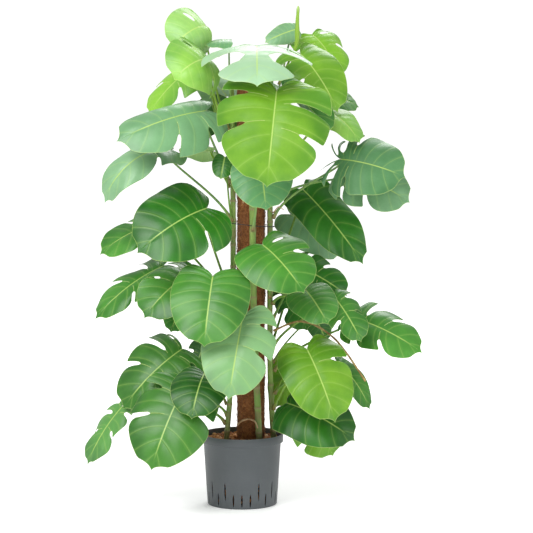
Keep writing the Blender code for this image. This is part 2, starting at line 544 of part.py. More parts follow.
def add_tie(home):
    """The thin tie round the pole and the stems, drawn as one closed loop."""
    reach = ((-0.034, -0.046), (-0.010, -0.058), (0.020, -0.0635), (0.042, -0.061), (0.062, -0.044),
             (0.0825, -0.030), (0.0845, -0.010), (0.068, 0.014), (0.048, 0.034), (0.024, 0.0405),
             (0.000, 0.034), (-0.017, 0.012), (-0.0335, -0.018), (-0.0365, -0.034))
    data = bpy.data.curves.new("tie", "CURVE")
    data.dimensions = "3D"
    data.bevel_depth = 0.0011
    data.bevel_resolution = 1
    data.resolution_u = 1
    spline = data.splines.new("POLY")
    spline.points.add(len(reach) - 1)
    for point, (x, y) in zip(spline.points, reach):
        point.co = (x, y, 0.752 + 0.10 * (x - 0.02) * -1, 1.0)
    spline.use_cyclic_u = True
    drawn = bpy.data.objects.new("tie", data)
    bpy.context.scene.collection.objects.link(drawn)
    mesh = baked(drawn)
    bpy.data.objects.remove(drawn)
    add_object("tie", mesh, "tie", home)


def add_trims(home):
    """Roots, the cut stalk and the rolled new leaf."""
    roots = {
        "root_pale": ((-0.012, -0.058, 0.222), (0.000, -0.066, 0.234), (0.018, -0.070, 0.239),
                      (0.034, -0.068, 0.232), (0.042, -0.068, 0.214)),
        "root_left": ((0.002, -0.048, 0.835), (0.006, -0.058, 0.850), (0.002, -0.066, 0.832), (0.004, -0.068, 0.810)),
        "root_right": ((0.072, -0.036, 0.795), (0.082, -0.046, 0.785), (0.096, -0.050, 0.800), (0.110, -0.046, 0.792)),
    }
    for name, points in roots.items():
        thick = 0.0030 if name == "root_pale" else 0.0017
        course = smooth_course(points, 7)
        add_object(name, tube(name, course, [thick * (1.0 - 0.06 * k) for k in range(7)]), "root", home)
    course = smooth_course(((0.084, -0.031, 0.470), (0.160, -0.080, 0.500), (0.245, -0.095, 0.455),
                            (0.325, -0.105, 0.345)), 7)
    add_object("cut_stalk", tube("cut_stalk", course, (0.0026,) * 7), "cut", home)
    course = smooth_course(((0.095, 0.006, 1.120), (0.118, 0.000, 1.170), (0.142, -0.025, 1.225),
                            (0.1440, -0.030, 1.280), (0.1470, -0.030, 1.326)), 10)
    radii = (0.0032, 0.0032, 0.0034, 0.0050, 0.0068, 0.0064, 0.0042, 0.0034, 0.0080, 0.0016)
    add_object("new_leaf", tube("new_leaf", course, radii), "young", home)


def main():
    clear_scene()
    home, tools = collection("potted_monstera_plant"), collection("tools")
    tools.hide_render = True
    add_pot(home, tools)
    add_granules(home, tools)
    add_pole(home)
    add_stems(home)
    add_tie(home)
    add_trims(home)
    for leaf in LEAVES:
        add_leaf(leaf, home, tools)


main()
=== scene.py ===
"""Potted monstera on a coir pole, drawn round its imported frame.

Metres, +Z up, the viewer's side is -Y. Each piece stands for one node of the frame and rides on its body.
"""
import math
import random

import bmesh
import bpy
import numpy as np
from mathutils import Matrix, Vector
from mathutils.kdtree import KDTree


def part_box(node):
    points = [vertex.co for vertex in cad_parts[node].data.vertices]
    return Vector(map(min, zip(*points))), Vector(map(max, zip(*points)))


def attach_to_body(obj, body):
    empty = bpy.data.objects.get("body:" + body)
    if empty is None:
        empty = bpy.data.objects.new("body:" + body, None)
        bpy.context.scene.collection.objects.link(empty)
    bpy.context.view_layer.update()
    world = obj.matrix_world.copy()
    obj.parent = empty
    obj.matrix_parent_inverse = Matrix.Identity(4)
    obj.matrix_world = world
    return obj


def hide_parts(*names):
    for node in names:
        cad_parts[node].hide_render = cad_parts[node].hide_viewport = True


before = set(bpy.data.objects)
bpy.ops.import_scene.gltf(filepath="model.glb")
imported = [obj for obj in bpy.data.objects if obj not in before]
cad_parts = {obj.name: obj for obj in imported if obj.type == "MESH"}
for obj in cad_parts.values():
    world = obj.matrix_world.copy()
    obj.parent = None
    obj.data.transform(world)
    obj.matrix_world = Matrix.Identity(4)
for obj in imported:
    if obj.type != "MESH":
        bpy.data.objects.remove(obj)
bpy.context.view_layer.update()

bl_info = {
    "name": "Potted monstera",
    "version": (1, 0, 0),
    "blender": (4, 5, 0),
    "location": "3D View > Sidebar > Monstera",
    "description": "Draws a monstera with its coir pole, stems, leaves, granules and slotted pot",
    "category": "Object",
}

BODY = "root"

# Half of a heart-shaped blade of length 1: (to the side, along the midrib)
HEART = np.array(((0.000, 0.000), (0.090, -0.120), (0.240, -0.185), (0.400, -0.120), (0.500, 0.050),
                  (0.515, 0.290), (0.475, 0.530), (0.375, 0.750), (0.205, 0.912), (0.000, 1.000)))
TIP_BEND = np.array((0.030, 0.930))  # pulls the last of the margin in to a drip tip
FAN = 0.30      # share of the margin whose veins all leave the petiole's end
BOW = 0.16      # how far a side vein bows towards the base
VEINS = 11      # side veins in each half
RIM_SKIN = 0.00045     # thickness of a blade at its margin
MORE_SKIN = 0.00035    # how much thicker it is inside
RIB = 0.0022           # how far the midrib stands out underneath
QUILT = 0.009          # rise between two side veins, in blade lengths
WAVE = 0.030           # wave of the margin, in blade lengths
SWING = 0.07           # how far a lobe swings up or down, in blade lengths
POLE_RADIUS = 0.0362   # mean radius of the coir wrap
POT_WALL = 0.0022      # thickness of the pot's wall

# Courses of the three stems, from the granules up, and their radii
STEMS = {
    "left": ((-0.042, -0.028, 0.165), (-0.030, -0.034, 0.330), (-0.0235, -0.034, 0.560),
             (-0.0225, -0.032, 0.800), (-0.024, -0.026, 1.000), (-0.026, -0.022, 1.145)),
    "centre": ((0.046, -0.052, 0.165), (0.038, -0.052, 0.330), (0.030, -0.0515, 0.560),
               (0.028, -0.0515, 0.800), (0.032, -0.0515, 1.000), (0.036, -0.0505, 1.150)),
    "right": ((0.084, -0.016, 0.165), (0.075, -0.018, 0.330), (0.0735, -0.020, 0.560),
              (0.0735, -0.018, 0.800), (0.074, -0.014, 1.000), (0.078, -0.010, 1.165)),
}
STEM_RADII = {"left": 0.0072, "centre": 0.0085, "right": 0.0075}

# Cuts of one half of a blade: (place along the margin, inner end, outer end, half width in metres)
ENTIRE = ()
ONE = ((0.56, 0.50, 1.0, 0.006),)
TWO = ((0.46, 0.50, 1.0, 0.006), (0.66, 0.50, 1.0, 0.006))
THREE = ((0.36, 0.50, 1.0, 0.005), (0.52, 0.25, 1.0, 0.006), (0.70, 0.50, 1.0, 0.006))
FOUR = ((0.30, 0.50, 1.0, 0.005), (0.44, 0.25, 1.0, 0.005), (0.58, 0.25, 1.0, 0.006), (0.73, 0.50, 1.0, 0.005))
HOLE = ((0.56, 0.25, 0.75, 0.006),)
FAR = ((0.36, 0.35, 1.0, 0.014), (0.68, 0.22, 1.0, 0.030))
SPLIT = ((0.26, 0.35, 1.0, 0.010), (0.46, 0.25, 1.0, 0.014), (0.70, 0.22, 1.0, 0.028))
FINGERS = ((0.26, 0.25, 1.0, 0.007), (0.38, 0.25, 1.0, 0.008), (0.52, 0.50, 1.0, 0.006))
HOLE_CUT = ((0.44, 0.25, 0.75, 0.005), (0.64, 0.50, 1.0, 0.006))


class Leaf:
    """One leaf: where its petiole leaves a stem, where the blade hangs, which way it faces, how it bends."""

    def __init__(self, name, stem, root, attach, tip, face, width, right=ENTIRE, left=ENTIRE,
                 droop=0.6, fold=0.10, sag=(0.5, 0.5), ears=1.0, rise=0.5, colour="mature",
                 stalk=0.0030, tone=0.0):
        self.name, self.stem, self.root = name, stem, root
        self.attach, self.tip, self.face = Vector(attach), Vector(tip), Vector(face)
        self.width, self.right, self.left = width, right, left
        self.droop, self.fold, self.sag, self.ears = droop, fold, sag, ears
        self.rise, self.colour, self.stalk, self.tone = rise, colour, stalk, tone


# colour picks a green; a high tone paints a sheen on a leaf by paling it towards mint, a low tone darkens it
LEAVES = (
    Leaf("leaf_crown_tip_left", "left", 1.00, (-0.092, 0.0, 1.275), (-0.178, -0.04, 1.215), (-0.3, -0.9, 0.3),
         0.165, HOLE, ENTIRE, droop=1.7, sag=(0.3, 2.2), ears=0.3, rise=1.5, colour="young", stalk=0.0026, tone=0.15),
    Leaf("leaf_crown_left", "left", 0.96, (-0.078, -0.085, 1.185), (-0.17, -0.15, 1.135), (-0.3, -0.9, 0.35),
         0.195, ONE, ONE, droop=1.7, sag=(0.3, 1.7), ears=0.4, rise=0.9, colour="young"),
    Leaf("leaf_crown_left_hanging", "left", 0.92, (-0.11, 0.065, 1.175), (-0.248, 0.02, 1.035), (-0.6, -0.6, 0.5),
         0.150, FOUR, THREE, droop=0.7, sag=(0.5, 0.4), ears=0.6, colour="young"),
    Leaf("leaf_upper_left_dark", "left", 0.88, (-0.09, 0.07, 1.045), (-0.12, 0.1, 1.135), (-0.1, -0.85, 0.5),
         0.120, ONE, ENTIRE, droop=0.2, ears=0.8, rise=0.6, colour="deep"),
    Leaf("leaf_crown_front", "centre", 1.02, (0.04, -0.12, 1.222), (0.042, -0.28, 1.12), (0.0, -0.6, 0.8),
         0.290, FAR, SPLIT, droop=0.9, sag=(0.7, 0.7), ears=0.6, colour="blue", tone=0.42),
    Leaf("leaf_crown_flat", "left", 1.06, (-0.03, -0.045, 1.235), (-0.095, -0.05, 1.22), (-0.1, -0.15, 1.0),
         0.090, ONE, ENTIRE, droop=0.7, sag=(0.4, 0.9), ears=0.5, colour="blue", stalk=0.0024, tone=0.10),
    Leaf("leaf_crown_right_upright", "right", 1.06, (0.142, 0.02, 1.265), (0.06, 0.0, 1.23), (-0.3, -0.8, 0.45),
         0.058, ENTIRE, ENTIRE, droop=0.45, sag=(0.2, 1.2), ears=0.6, colour="blue", stalk=0.0026, tone=0.12),
    Leaf("leaf_crown_right_fold", "right", 1.04, (0.185, 0.07, 1.252), (0.252, 0.04, 1.135), (0.35, -0.65, 0.65),
         0.175, ONE, HOLE_CUT, droop=1.0, sag=(0.5, 0.7), ears=0.5, colour="young"),
    Leaf("leaf_crown_right_hanging", "right", 0.98, (0.155, -0.035, 1.2), (0.25, -0.11, 1.05), (0.25, -0.8, 0.5),
         0.160, TWO, ENTIRE, droop=0.7, sag=(0.5, 0.5), colour="young", tone=-0.22),
    Leaf("leaf_right_of_centre", "right", 0.94, (0.115, -0.155, 1.11), (0.225, -0.2, 0.995), (0.55, -0.5, 0.65),
         0.130, ENTIRE, ENTIRE, droop=0.7, fold=0.5, colour="mature"),
    Leaf("leaf_centre_large", "centre", 0.92, (0.09, -0.225, 1.105), (0.065, -0.31, 0.865), (0.02, -0.93, 0.35),
         0.285, TWO, THREE, droop=0.9, sag=(0.35, 0.35), colour="young", tone=-0.28),
    Leaf("leaf_left_large", "left", 0.86, (-0.092, -0.09, 1.052), (-0.318, -0.17, 0.975), (-0.1, -0.82, 0.5),
         0.215, ENTIRE, TWO, droop=0.7, sag=(1.9, 0.5), colour="blue", tone=0.15),
    Leaf("leaf_left_drooping", "left", 0.77, (-0.195, -0.03, 0.955), (-0.358, -0.08, 0.815), (-0.3, -0.75, 0.6),
         0.120, ONE, ONE, droop=1.9, sag=(0.8, 0.5), colour="blue", tone=0.25),
    Leaf("leaf_right_pale", "right", 0.86, (0.215, -0.06, 1.055), (0.305, -0.12, 0.970), (0.3, -0.55, 0.75),
         0.110, ENTIRE, ENTIRE, droop=0.9, sag=(0.6, 0.5), colour="young", tone=0.12),
    Leaf("leaf_right_large", "right", 0.77, (0.256, -0.12, 0.93), (0.42, -0.16, 0.885), (0.1, -0.8, 0.6),
         0.205, FINGERS, FINGERS, droop=0.6, sag=(0.5, 0.5), ears=1.3, colour="blue", tone=-0.28),
    Leaf("leaf_right_large_low", "right", 0.8, (0.272, -0.08, 0.885), (0.435, -0.12, 0.81), (0.1, -0.85, 0.5),
         0.165, TWO, ENTIRE, droop=0.8, colour="blue", tone=0.20),
    Leaf("leaf_left_under", "left", 0.85, (-0.075, -0.005, 0.945), (-0.165, 0.03, 0.935), (0.1, 0.5, 0.85),
         0.100, ENTIRE, ENTIRE, droop=0.5, colour="young"),
    Leaf("leaf_left_small_dark", "left", 0.76, (-0.045, -0.07, 0.930), (-0.055, -0.10, 0.875), (0.0, -0.8, 0.6),
         0.060, ENTIRE, ENTIRE, droop=0.5, colour="deep", stalk=0.0022),
    Leaf("leaf_right_behind", "right", 0.92, (0.200, 0.08, 1.095), (0.310, 0.10, 1.060), (0.2, -0.5, 0.85),
         0.120, ONE, ONE, droop=0.6, ears=0.4, colour="mature"),
    Leaf("leaf_left_mid_large", "left", 0.56, (-0.095, -0.10, 0.805), (-0.270, -0.18, 0.695), (-0.25, -0.88, 0.4),
         0.235, ENTIRE, ONE, droop=0.9, sag=(0.5, 0.5), colour="deep"),
    Leaf("leaf_left_mid_behind", "left", 0.54, (-0.195, 0.03, 0.755), (-0.375, 0.00, 0.670), (-0.2, -0.5, 0.85),
         0.150, TWO, TWO, droop=0.8, colour="mature"),
    Leaf("leaf_left_long", "left", 0.46, (-0.21, 0.02, 0.64), (-0.385, -0.04, 0.505), (-0.5, -0.6, 0.6),
         0.135, THREE, THREE, droop=0.6, ears=0.8, colour="mature"),
    Leaf("leaf_left_low_split", "left", 0.4, (-0.13, -0.05, 0.625), (-0.255, -0.14, 0.515), (-0.2, -0.75, 0.6),
         0.180, TWO, THREE, droop=0.9, ears=0.7, colour="mature", tone=-0.15),
    Leaf("leaf_big_round", "left", 0.50, (-0.075, -0.20, 0.630), (-0.095, -0.29, 0.460), (-0.05, -0.88, 0.48),
         0.202, ENTIRE, ENTIRE, droop=0.5, sag=(0.4, 0.4), colour="mature", tone=-0.15),
    Leaf("leaf_left_low_dark", "left", 0.36, (-0.145, -0.01, 0.555), (-0.185, -0.04, 0.465), (-0.2, -0.85, 0.5),
         0.090, ENTIRE, ENTIRE, droop=0.56, ears=0.6, colour="deep"),
    Leaf("leaf_centre_mid", "right", 0.56, (0.055, -0.15, 0.710), (0.160, -0.25, 0.595), (0.1, -0.75, 0.6),
         0.190, ENTIRE, HOLE_CUT, droop=0.7, colour="mature"),
    Leaf("leaf_right_back_grey", "right", 0.60, (0.130, 0.05, 0.770), (0.265, 0.07, 0.660), (0.2, -0.7, 0.65),
         0.150, ENTIRE, ONE, droop=0.6, colour="blue", tone=0.20),
    Leaf("leaf_right_mid_dark", "right", 0.6, (0.165, 0.0, 0.84), (0.32, -0.08, 0.65), (0.2, -0.85, 0.45),
         0.140, ENTIRE, ENTIRE, droop=0.5, sag=(0.4, 0.4), ears=0.5, colour="deep"),
    Leaf("leaf_right_mid_lobes", "right", 0.50, (0.145, -0.035, 0.64), (0.275, -0.06, 0.565), (0.1, -0.75, 0.6),
         0.130, THREE, TWO, droop=0.6, colour="deep"),
    Leaf("leaf_low_right_dark", "right", 0.44, (0.125, 0.02, 0.575), (0.17, 0.0, 0.465), (0.0, -0.85, 0.5),
         0.110, TWO, ENTIRE, droop=0.5, colour="deep"),
    Leaf("leaf_low_right_front", "right", 0.54, (0.165, -0.11, 0.585), (0.220, -0.19, 0.505), (0.1, -0.85, 0.5),
         0.125, ENTIRE, ENTIRE, droop=0.6, colour="mature"),
    Leaf("leaf_hanging_pale", "right", 0.42, (0.243, -0.115, 0.565), (0.31, -0.165, 0.455), (0.3, -0.8, 0.5),
         0.110, THREE, TWO, droop=0.5, colour="mature"),
    Leaf("leaf_far_right_split", "right", 0.36, (0.29, -0.03, 0.505), (0.470, -0.10, 0.420), (0.15, -0.75, 0.65),
         0.155, THREE, THREE, droop=0.6, ears=0.5, colour="mature"),
    Leaf("leaf_centre_small", "centre", 0.74, (0.050, -0.12, 0.920), (0.065, -0.19, 0.800), (0.0, -0.8, 0.6),
         0.160, ENTIRE, ENTIRE, droop=0.7, colour="blue"),
    Leaf("leaf_low_left_back", "left", 0.30, (-0.165, -0.02, 0.415), (-0.32, -0.06, 0.26), (-0.3, -0.8, 0.5),
         0.200, THREE, TWO, droop=0.76, ears=0.4, rise=0.7, colour="mature", tone=-0.25),
    Leaf("leaf_low_left_large", "left", 0.24, (-0.155, -0.13, 0.325), (-0.235, -0.21, 0.125), (-0.2, -0.88, 0.42),
         0.220, TWO, ONE, droop=0.6, colour="mature", tone=-0.28),
    Leaf("leaf_low_left_inner", "left", 0.27, (-0.100, 0.01, 0.420), (-0.135, 0.00, 0.330), (-0.1, -0.85, 0.5),
         0.080, ONE, ENTIRE, droop=0.5, colour="deep", stalk=0.0024),
    Leaf("leaf_low_mid_dark", "left", 0.30, (-0.100, -0.13, 0.370), (-0.13, -0.22, 0.265), (-0.1, -0.75, 0.65),
         0.155, ENTIRE, ENTIRE, droop=0.9, colour="deep", tone=-0.30),
    Leaf("leaf_low_centre", "centre", 0.36, (0.005, -0.20, 0.525), (-0.030, -0.29, 0.325), (0.0, -0.9, 0.45),
         0.190, ONE, TWO, droop=0.5, colour="mature", tone=0.22),
    Leaf("leaf_far_left_low", "left", 0.22, (-0.320, -0.03, 0.265), (-0.410, -0.06, 0.115), (-0.6, -0.6, 0.5),
         0.100, THREE, TWO, droop=0.5, ears=0.6, colour="mature"),
    Leaf("leaf_low_right_main", "right", 0.26, (0.170, -0.15, 0.435), (0.240, -0.24, 0.260), (0.1, -0.85, 0.5),
         0.180, ENTIRE, ONE, droop=0.7, colour="young", tone=-0.30),
    Leaf("leaf_low_right_round", "right", 0.23, (0.120, -0.10, 0.290), (0.295, -0.16, 0.200), (0.1, -0.8, 0.6),
         0.175, ENTIRE, ENTIRE, droop=0.8, sag=(0.5, 0.6), ears=0.4, colour="deep", tone=-0.12),
    Leaf("leaf_low_right_under", "right", 0.21, (0.180, -0.03, 0.240), (0.240, -0.04, 0.135), (0.1, -0.75, 0.6),
         0.150, TWO, TWO, droop=0.5, colour="young"),
    Leaf("leaf_right_back_pale", "right", 0.28, (0.150, 0.05, 0.385), (0.095, 0.03, 0.255), (0.15, -0.8, 0.5),
         0.110, ENTIRE, ONE, droop=0.7, sag=(0.4, 0.6), ears=0.8, rise=0.5, colour="young"),
    Leaf("leaf_right_narrow", "right", 0.30, (0.250, -0.02, 0.385), (0.335, -0.05, 0.262), (0.5, -0.6, 0.5),
         0.090, ONE, ENTIRE, droop=0.7, colour="mature"),
    Leaf("leaf_right_low_tip", "right", 0.38, (0.19, 0.05, 0.5), (0.222, 0.04, 0.43), (0.1, -0.8, 0.55),
         0.070, ENTIRE, ENTIRE, droop=0.5, colour="deep", stalk=0.0022),
    Leaf("leaf_crown_back_pale", "left", 0.94, (-0.04, 0.1, 1.09), (-0.100, 0.15, 1.145), (0.0, -0.4, 0.9),
         0.130, ENTIRE, ENTIRE, droop=0.5, colour="blue", tone=0.35),
)


# ---------------------------------------------------------------- node trees

class Value:
    """One output of a node. Sums written on it in Python add the Math nodes."""

    def __init__(self, tree, socket):
        self.tree, self.socket = tree, socket

    def other(self, output):
        """Another output of the same node."""
        return Value(self.tree, self.socket.node.outputs[output])

    def maths(self, operation, *terms):
        values = {k: term for k, term in enumerate(terms)}
        return self.tree.node("ShaderNodeMath", {"operation": operation}, values)

    def __add__(self, other):
        return self.maths("ADD", self, other)

    def __radd__(self, other):
        return self.maths("ADD", other, self)

    def __sub__(self, other):
        return self.maths("SUBTRACT", self, other)

    def __rsub__(self, other):
        return self.maths("SUBTRACT", other, self)

    def __mul__(self, other):
        return self.maths("MULTIPLY", self, other)

    def __rmul__(self, other):
        return self.maths("MULTIPLY", other, self)

    def __truediv__(self, other):
        return self.maths("DIVIDE", self, other)

    def __mod__(self, other):
        return self.maths("MODULO", self, other)

    def __abs__(self):
        return self.maths("ABSOLUTE", self)

    def least(self, other):
        return self.maths("MINIMUM", self, other)

    def most(self, other):
        return self.maths("MAXIMUM", self, other)

    def above(self, other):
        return self.maths("GREATER_THAN", self, other)

    def band(self, low, high):
        """0 below low, 1 above high, smooth between. With low above high it runs the other way."""
        first, last = (0.0, 1.0) if low < high else (1.0, 0.0)
        return self.tree.node("ShaderNodeMapRange", {"interpolation_type": "SMOOTHSTEP"}, {
            "Value": self, "From Min": min(low, high), "From Max": max(low, high), "To Min": first, "To Max": last})


class Tree:
    """A node tree with one way to add any node."""

    def __init__(self, nodes):
        self.nodes = nodes

    def node(self, kind, settings=None, values=None, output=0):
        """Adds a node, sets its settings, then the values or links of its sockets, and returns one output."""
        made = self.nodes.nodes.new(kind)
        for key, value in (settings or {}).items():
            if key == "stops":
                ramp = made.color_ramp.elements
                while len(ramp) < len(value):
                    ramp.new(0.5)
                for element, (place, colour) in zip(ramp, value):
                    element.position, element.color = place, (*colour, 1.0)
            else:
                setattr(made, key, value)
        for key, value in (values or {}).items():
            if isinstance(value, Value):
                self.nodes.links.new(value.socket, made.inputs[key])
            else:
                made.inputs[key].default_value = value
        return Value(self, made.outputs[output]) if made.outputs else None

    def place(self):
        return self.node("ShaderNodeTexCoord", output="Object")

    def attribute(self, name):
        """The three numbers of a vertex attribute."""
        vector = self.node("ShaderNodeAttribute", {"attribute_name": name}, output="Vector")
        split = self.node("ShaderNodeSeparateXYZ", None, {"Vector": vector})
        return split, split.other("Y"), split.other("Z")

    def noise(self, scale, detail=3.0, vector=None, roughness=0.55, stretch=None):
        vector = vector or self.place()
        if stretch:
            vector = self.node("ShaderNodeMapping", None, {"Vector": vector, "Scale": stretch})
        return self.node("ShaderNodeTexNoise", None, {
            "Vector": vector, "Scale": scale, "Detail": detail, "Roughness": roughness})

    def blend(self, share, low, high, mode="MIX"):
        """Colour low where share is 0 and high where it is 1."""
        colours = [c if isinstance(c, Value) else (*c, 1.0) for c in (low, high)]
        return self.node("ShaderNodeMix", {"data_type": "RGBA", "blend_type": mode}, {
            0: share, 6: colours[0], 7: colours[1]}, output=2)

    def ramp(self, share, *stops):
        return self.node("ShaderNodeValToRGB", {"stops": stops}, {"Fac": share})


def new_finish(name):
    """An empty material and its tree."""
    made = bpy.data.materials.new(name)
    made.use_nodes = True
    made.node_tree.nodes.clear()
    return made, Tree(made.node_tree)


def finished(made, tree, colour, roughness, height=None, depth=0.001, strength=1.0, **fixed):
    """Wires colour, roughness and relief into one surface shader; the fixed values go on its own sockets."""
    values = {"Base Color": colour, "Roughness": roughness}
    if height is not None:
        values["Normal"] = tree.node("ShaderNodeBump", None, {
            "Height": height, "Distance": depth, "Strength": strength})
    values.update({key.replace("_", " "): value for key, value in fixed.items()})
    surface = tree.node("ShaderNodeBsdfPrincipled", None, values)
    tree.node("ShaderNodeOutputMaterial", None, {"Surface": surface})
    made.diffuse_color = (0.3, 0.4, 0.3, 1.0)
    return made


# ---------------------------------------------------------------- mesh helpers

def ring_frames(course):
    """Two directions across a course at each of its points, turning as little as they can."""
    ahead = np.gradient(course, axis=0)
    ahead /= np.linalg.norm(ahead, axis=1)[:, None]
    first = np.cross(ahead[0], (0.0, 1.0, 0.0) if abs(ahead[0][1]) < 0.9 else (1.0, 0.0, 0.0))
    across = [first / np.linalg.norm(first)]
    for direction in ahead[1:]:
        turned = across[-1] - direction * np.dot(across[-1], direction)
        across.append(turned / np.linalg.norm(turned))
    across = np.array(across)
    return across, np.cross(ahead, across)


def tube(course, radii, sides=12):
    """Points, faces and (place along, turn, 0) of a closed round tube, with a radius for each ring or each point."""
    course = np.asarray(course, float)
    count = len(course)
    across, up = ring_frames(course)
    turn = np.arange(sides) / sides * math.tau
    radii = np.asarray(radii, float)
    radii = radii[:, None] if radii.ndim == 1 else radii
    circle = (across[:, None] * np.cos(turn)[None, :, None] + up[:, None] * np.sin(turn)[None, :, None])
    points = course[:, None] + circle * radii[..., None]
    points = np.concatenate((points.reshape(-1, 3), course[:1], course[-1:]))
    k = np.arange(count - 1)[:, None] * sides
    s = np.arange(sides)[None]
    n = (s + 1) % sides
    walls = np.stack((k + s, k + n, k + sides + n, k + sides + s), -1).reshape(-1, 4).tolist()
    foot, top, last = count * sides, count * sides + 1, (count - 1) * sides
    caps = [(foot, int(b), int(a)) for a, b in zip(s[0], n[0])] + [
        (top, last + int(a), last + int(b)) for a, b in zip(s[0], n[0])]
    along = np.linspace(0.0, 1.0, count)
    marks = np.stack((np.repeat(along, sides), np.tile(turn / math.tau, count), np.zeros(count * sides)), -1)
    marks = np.concatenate((marks, ((0.0, 0.0, 0.0), (1.0, 0.0, 0.0))))
    return points, walls + caps, marks


def smooth_course(points, count):
    """Evenly numbered points of a smooth curve through the given ones."""
    points = np.asarray(points, float)
    at = np.linspace(0.0, len(points) - 1, count)
    i = np.minimum(at.astype(int), len(points) - 2)
    t = (at - i)[:, None]
    a, b, c, d = (points[np.clip(i + k, 0, len(points) - 1)] for k in (-1, 0, 1, 2))
    return 0.5 * (2 * b + (c - a) * t + (2 * a - 5 * b + 4 * c - d) * t * t + (3 * b - a - 3 * c + d) * t ** 3)


def joined(*parts):
    """Several (points, faces, marks) as one."""
    points, faces, marks, start = [], [], [], 0
    for part in parts:
        points.append(part[0])
        faces += [tuple(i + start for i in face) for face in part[1]]
        marks.append(part[2])
        start += len(part[0])
    return np.concatenate(points), faces, np.concatenate(marks)


def mesh_from(name, points, faces, run=None, edge=None, sharp=None):
    """A smooth mesh with its vertex attributes."""
    mesh = bpy.data.meshes.new(name)
    mesh.from_pydata(np.asarray(points).tolist(), [], faces)
    for key, values in (("run", run), ("edge", edge)):
        if values is not None:
            layer = mesh.attributes.new(key, "FLOAT_VECTOR", "POINT")
            layer.data.foreach_set("vector", np.asarray(values, np.float32).ravel())
    mesh.polygons.foreach_set("use_smooth", [True] * len(mesh.polygons))
    mesh.update()
    if sharp:
        mesh.set_sharp_from_angle(angle=math.radians(sharp))
    return mesh


def put(name, mesh, finishes, slot, *nodes):
    """Makes the finished piece, which rides on the body and stands for its nodes."""
    for finish in finishes:
        mesh.materials.append(finish)
    piece = bpy.data.objects.new(name, mesh)
    bpy.context.scene.collection.objects.link(piece)
    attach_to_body(piece, BODY)
    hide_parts(*nodes)
    return piece


def settled(points, node):
    """Points moved so that the middle of their box lies on the middle of the node's box."""
    low, high = (np.array(corner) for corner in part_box(node))
    return points + (low + high) / 2 - (points.min(axis=0) + points.max(axis=0)) / 2


def shape_tree(name, *inputs):
    """A geometry tree with named inputs: returns its group, its tree and its inputs."""
    group = bpy.data.node_groups.new(name, "GeometryNodeTree")
    group.interface.new_socket("Geometry", in_out="INPUT", socket_type="NodeSocketGeometry")
    for label, kind, _ in inputs:
        group.interface.new_socket(label, in_out="INPUT", socket_type=kind)
    group.interface.new_socket("Geometry", in_out="OUTPUT", socket_type="NodeSocketGeometry")
    tree = Tree(group)
    return group, tree, tree.node("NodeGroupInput")


def end_shape(tree, geometry, finish):
    """Every tree ends in plain geometry with its finish."""
    plain = tree.node("GeometryNodeRealizeInstances", None, {"Geometry": geometry})
    smooth = tree.node("GeometryNodeSetShadeSmooth", None, {"Geometry": plain})
    dressed = tree.node("GeometryNodeSetMaterial", None, {"Geometry": smooth, "Material": finish})
    tree.node("NodeGroupOutput", None, {"Geometry": dressed})


def grown(name, base, group, inputs, *finishes):
    """The plain mesh that a geometry tree makes on a base mesh, all in one finish."""
    holder = bpy.data.objects.new(name, base)
    bpy.context.scene.collection.objects.link(holder)
    modifier = holder.modifiers.new(name, "NODES")
    modifier.node_group = group
    wanted = {label: value for label, _, value in inputs}
    for item in group.interface.items_tree:
        if item.in_out == "INPUT" and item.name in wanted:
            modifier[item.identifier] = wanted[item.name]
    bpy.context.view_layer.update()
    graph = bpy.context.evaluated_depsgraph_get()
    mesh = bpy.data.meshes.new_from_object(holder.evaluated_get(graph))
    holder.modifiers.clear()
    bpy.data.objects.remove(holder)
    mesh.materials.clear()
    for finish in finishes:
        mesh.materials.append(finish)
    return mesh


def merged(*meshes):
    """Several meshes as one, with their materials kept."""
    finishes, whole = [], bmesh.new()
    for mesh in meshes:
        order = []
        for finish in mesh.materials:
            if finish not in finishes:
                finishes.append(finish)
            order.append(finishes.index(finish))
        for face in mesh.polygons:
            face.material_index = order[face.material_index] if order else 0
        whole.from_mesh(mesh)
    made = bpy.data.meshes.new(meshes[0].name)
    whole.to_mesh(made)
    whole.free()
    for finish in finishes:
        made.materials.append(finish)
    return made


# ---------------------------------------------------------------- finishes

LEAF_TONES = {  # fresh colour, shaded colour
    "young": ((0.230, 0.500, 0.022), (0.090, 0.300, 0.012)),
    "mature": ((0.075, 0.290, 0.028), (0.028, 0.150, 0.014)),
    "deep": ((0.032, 0.205, 0.010), (0.010, 0.095, 0.005)),
    # painted reflection: this class's paler, bluish green stands for the sky's sheen on glossy leaves, and its
    # petioles take the same green
    "blue": ((0.130, 0.340, 0.130), (0.050, 0.190, 0.055)),
}
PALE_VEIN = (0.42, 0.60, 0.14)
PAINTED_SHEEN = (0.60, 0.82, 0.56)      # painted sheen: the pale mint that a leaf with a high tone goes towards, for the sky's reflection on its gloss; a low tone darkens it
